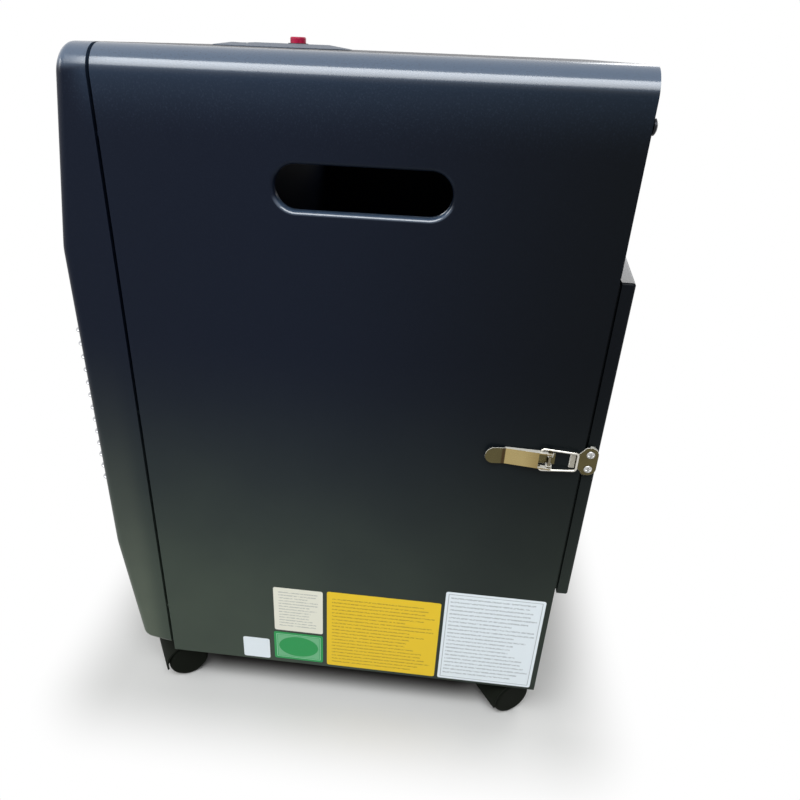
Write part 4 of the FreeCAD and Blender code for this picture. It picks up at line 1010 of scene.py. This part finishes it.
class HEATER_OT_burners(bpy.types.Operator):
    """Finish the burners, the reflector and the gas lines"""

    bl_idname = "heater.burners"
    bl_label = "Burners and gas lines"

    def execute(self, context):
        places = ("left", "middle", "right")
        reflector = plated("reflector_steel", srgb(190, 190, 188), 0.28, (0.1, 1.0, 1.0))
        dress(reflector, "reflector_frame", "pilot_burner",
              *("burner_plenum_" + place for place in places))
        clay = ceramic("burner_ceramic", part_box("ceramic_plaque_middle")[0].y)
        for place in places:
            self.perforate("ceramic_plaque_" + place, clay)
        dress(clay, "spark_electrode")
        brass = plated("gas_brass", srgb(196, 160, 92), 0.3)
        dress(brass, "gas_valve", "valve_rotor", "valve_spindle", "injectors", "gas_inlet")
        copper = plated("copper_pipe", srgb(190, 118, 84), 0.32)
        dress(copper, "feed_pipes", "pilot_pipe", "thermocouple", edge=0)
        rubber = moulded("lead_rubber", srgb(150, 36, 30), 0.55, 800.0, 0.03 * MM)
        dress(rubber, "ignition_lead", edge=0)
        return {"FINISHED"}

    def perforate(self, node, clay):
        """Plaque with a field of blind holes in its front."""
        size = sizes()
        low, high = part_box(node)
        middle = (low + high) / 2
        pitch = size.plaque_pitch
        hole_depth = 2 * MM
        corner = 2 * MM
        columns = int((high.x - low.x - 2 * size.plaque_margin) / pitch)
        rows = int((high.z - low.z - 2 * size.plaque_margin) / pitch)
        left = middle.x - (columns - 1) / 2 * pitch
        foot = middle.z - (rows - 1) / 2 * pitch
        seats = [(left + i * pitch, low.y, foot + j * pitch)
                 for i in range(columns) for j in range(rows)]
        tile = hole_tile(node + "_tile", pitch, size.plaque_hole / 2, hole_depth)
        piece = seated(node + "_face", seats, tile, Vector((0, -1, 0)), clay, "cabinet")
        close_block(piece.data, low, high, corner)
        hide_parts(node)


class HEATER_OT_casters(bpy.types.Operator):
    """Finish the casters"""

    bl_idname = "heater.casters"
    bl_label = "Casters"

    def execute(self, context):
        nylon = moulded(
            "caster_plastic", palette().caster[:], 0.5, 700.0, 0.08 * MM, shine=0.03)
        steel = plated("caster_steel", srgb(170, 172, 174), 0.3)
        for place in CASTERS:
            dress(nylon, "caster_%s_hood" % place, "caster_%s_wheels" % place, edge=0.4 * MM)
            dress(steel, "caster_%s_stem" % place, "caster_%s_axle" % place)
        return {"FINISHED"}


def label_plate(name, centre, half, corner, material):
    """Thin rounded plate on the right side of the cabinet."""
    inner = -0.05 * MM
    outer = 0.18 * MM
    steps = 6
    bm = bmesh.new()
    rings = {depth: [] for depth in (inner, outer)}
    for sy, sz, start in ((1, 1, 0), (-1, 1, 90), (-1, -1, 180), (1, -1, 270)):
        for step in range(steps + 1):
            angle = math.radians(start + 90 * step / steps)
            y = centre[0] + sy * (half[0] - corner) + corner * math.cos(angle)
            z = centre[1] + sz * (half[1] - corner) + corner * math.sin(angle)
            for depth, ring in rings.items():
                ring.append(bm.verts.new((side_x + depth, y, z)))
    back, front = rings[inner], rings[outer]
    bm.faces.new(front)
    bm.faces.new(list(reversed(back)))
    for i in range(len(front)):
        j = (i + 1) % len(front)
        bm.faces.new((back[i], back[j], front[j], front[i]))
    mesh_piece(name, bm, material, "cabinet")


class HEATER_OT_labels(bpy.types.Operator):
    """Stick blank labels low on the right side"""

    bl_idname = "heater.labels"
    bl_label = "Blank labels"

    def execute(self, context):
        colours = palette()
        grey = srgb(120, 126, 130)
        corner = 2.5 * MM
        # name, paper, ink, edges from the wrap's front and foot, pitch of the rules, border;
        # edges and pitch in millimetres
        plan = (
            ("cream", colours.label_cream, grey, (132.5, 192.0, 54.5, 122.5), 4.4, 0),
            ("green", colours.label_green, srgb(180, 226, 196), (131.0, 192.0, 6.0, 51.0), 0, 1),
            ("small_white", colours.label_white, grey, (91.5, 125.0, 3.5, 36.5), 0, 0),
            ("yellow", colours.label_yellow, srgb(120, 92, 20), (197.0, 331.0, 4.0, 124.0), 5.4, 0),
            ("white", colours.label_white, srgb(104, 108, 114), (335.0, 448.0, 3.5, 143.0), 6.0, 1),
        )
        for name, paper, ink, (y0, y1, z0, z1), ruled, border in plan:
            name = "label_" + name
            centre = (wrap_low.y + (y0 + y1) / 2 * MM, wrap_low.z + (z0 + z1) / 2 * MM)
            half = ((y1 - y0) / 2 * MM, (z1 - z0) / 2 * MM)
            finish = label_paper(name, paper[:], ink, centre, half, ruled * MM, border)
            label_plate(name, centre, half, corner, finish)
        return {"FINISHED"}


def soft_light(name, place, target, size, power, colour=(1.0, 1.0, 1.0)):
    """Lamp at place, facing target; size is its level length and its width."""
    lamp = bpy.data.lights.new(name, "AREA")
    lamp.shape = "RECTANGLE"
    lamp.size, lamp.size_y = size
    lamp.energy = power
    lamp.color = colour
    obj = link(bpy.data.objects.new(name, lamp))
    obj.location = place
    obj.rotation_euler = (Vector(target) - Vector(place)).to_track_quat("-Z", "Y").to_euler()


def seen(builder):
    """1 for rays from the camera, mirrors and glass, 0 for the light that falls on surfaces."""
    rays = builder.node("ShaderNodeLightPath", out="Is Camera Ray")
    return rays.most(rays.other("Is Glossy Ray")).most(rays.other("Is Transmission Ray"))


def stage_floor():
    """Pale floor with a painted shadow under the cabinet, that fades to white away from the heater.
    """
    reach = 30.0
    fade = 0.12
    bm = bmesh.new()
    corners = ((-reach, -reach), (reach, -reach), (reach, reach), (-reach, reach))
    bm.faces.new([bm.verts.new((x, y, 0.0)) for x, y in corners])
    mesh = plain_mesh("floor", bm)
    floor = Finish("floor", Roughness=0.9, Specular_IOR_Level=0.1)
    across = abs(floor.place.axis(0))
    along = abs(floor.place.axis(1))
    pale = floor.mix(floor.noise(6.0, 3.0), srgb(206, 205, 203), srgb(198, 197, 195))
    # painted shadow: dark floor colour under the cabinet
    under = (1 - across.span(0.15, 0.2)) * (1 - along.span(0.15, 0.24))
    floor.feed("Base Color", floor.mix(under, pale, srgb(40, 33, 29)))
    out_x = (across - cad_high.x).most(0.0)
    out_y = (along - cad_high.y).most(0.0)
    distance = (out_x * out_x + out_y * out_y).root()
    white = floor.node("ShaderNodeEmission", {}, {"Color": (1, 1, 1, 1), "Strength": 1.0})
    plain = Signal(floor, floor.shader.outputs[0])
    share = seen(floor) * distance.span(0.0, fade)
    mixed = floor.node("ShaderNodeMixShader", {}, {0: share, 1: plain, 2: white})
    floor.tree.links.new(mixed.socket, floor.output.inputs[0])
    mesh.materials.append(floor.material)
    obj = link(bpy.data.objects.new("floor", mesh))


def stage_world():
    """Even pale surroundings, white where the camera looks past the floor."""
    fill = 0.32
    world = bpy.data.worlds.new("surroundings")
    world.use_nodes = True
    world.node_tree.nodes.clear()
    builder = Builder(world.node_tree)
    strength = fill + seen(builder) * (1 - fill)
    sky = builder.node("ShaderNodeBackground", {}, {"Color": (1, 1, 1, 1), "Strength": strength})
    builder.node("ShaderNodeOutputWorld", {}, {"Surface": sky})
    bpy.context.scene.world = world


def stage_camera():
    """Camera level with the cabinet's top, looking down at its right side."""
    place = Vector((0.8062, wrap_low.y + 0.30315, 0.7444))
    yaw = math.radians(5.23)
    pitch = math.radians(28.70)
    roll = math.radians(-2.35)
    focal = 682.7
    middle = (377.9, 421.0)
    image = 800.0
    ahead = Vector((
        -math.cos(yaw) * math.cos(pitch), -math.sin(yaw) * math.cos(pitch), -math.sin(pitch)))
    level = ahead.cross(Vector((0, 0, 1))).normalized()
    down = ahead.cross(level)
    right = level * math.cos(roll) + down * math.sin(roll)
    lower = down * math.cos(roll) - level * math.sin(roll)
    camera = bpy.data.cameras.new("camera")
    camera.sensor_width = 36.0
    camera.lens = focal / image * camera.sensor_width
    camera.shift_x = (image / 2 - middle[0]) / image
    camera.shift_y = (middle[1] - image / 2) / image
    camera.clip_start = 0.01
    obj = link(bpy.data.objects.new("camera", camera))
    turn = Matrix((right, -lower, -ahead)).transposed()
    obj.matrix_world = Matrix.Translation(place) @ turn.to_4x4()
    bpy.context.scene.camera = obj


class HEATER_OT_stage(bpy.types.Operator):
    """Set up floor, surroundings, lights and camera"""

    bl_idname = "heater.stage"
    bl_label = "Stage"

    def execute(self, context):
        context.scene.view_settings.view_transform = "Standard"
        stage_floor()
        stage_world()
        stage_camera()
        middle = (0.0, 0.0, 0.4)
        soft_light("ceiling", place=(1.5, -0.1, 2.4), target=(0.2, 0.0, 0.7), size=(2.4, 1.1),
                   power=68.0, colour=(0.95, 0.98, 1.0))
        soft_light("front", place=(0.9, -2.2, 1.5), target=middle, size=(1.2, 1.2), power=22.0)
        soft_light("far", place=(-2.0, 1.4, 1.5), target=middle, size=(1.6, 1.6), power=26.0)
        return {"FINISHED"}


OPERATORS = (
    HEATER_OT_cabinet,
    HEATER_OT_guard,
    HEATER_OT_latches,
    HEATER_OT_screws,
    HEATER_OT_controls,
    HEATER_OT_burners,
    HEATER_OT_casters,
    HEATER_OT_labels,
    HEATER_OT_stage,
)


class HEATER_PT_pieces(bpy.types.Panel):
    """Buttons for each group of pieces"""

    bl_idname = "HEATER_PT_pieces"
    bl_label = "Cabinet heater"
    bl_space_type = "VIEW_3D"
    bl_region_type = "UI"
    bl_category = "Heater"

    def draw(self, context):
        for operator in OPERATORS:
            self.layout.operator(operator.bl_idname)
        for group in (context.scene.heater_colours, context.scene.heater_sizes):
            for name in group.bl_rna.properties.keys():
                if name not in ("rna_type", "name"):
                    self.layout.prop(group, name)


CLASSES = (HeaterColours, HeaterSizes) + OPERATORS + (HEATER_PT_pieces,)


def register():
    for cls in CLASSES:
        bpy.utils.register_class(cls)
    bpy.types.Scene.heater_colours = PointerProperty(type=HeaterColours)
    bpy.types.Scene.heater_sizes = PointerProperty(type=HeaterSizes)


def unregister():
    del bpy.types.Scene.heater_sizes
    del bpy.types.Scene.heater_colours
    for cls in reversed(CLASSES):
        bpy.utils.unregister_class(cls)


def main():
    register()
    for operator in OPERATORS:
        group, name = operator.bl_idname.split(".")
        getattr(getattr(bpy.ops, group), name)()


if __name__ == "__main__":
    main()
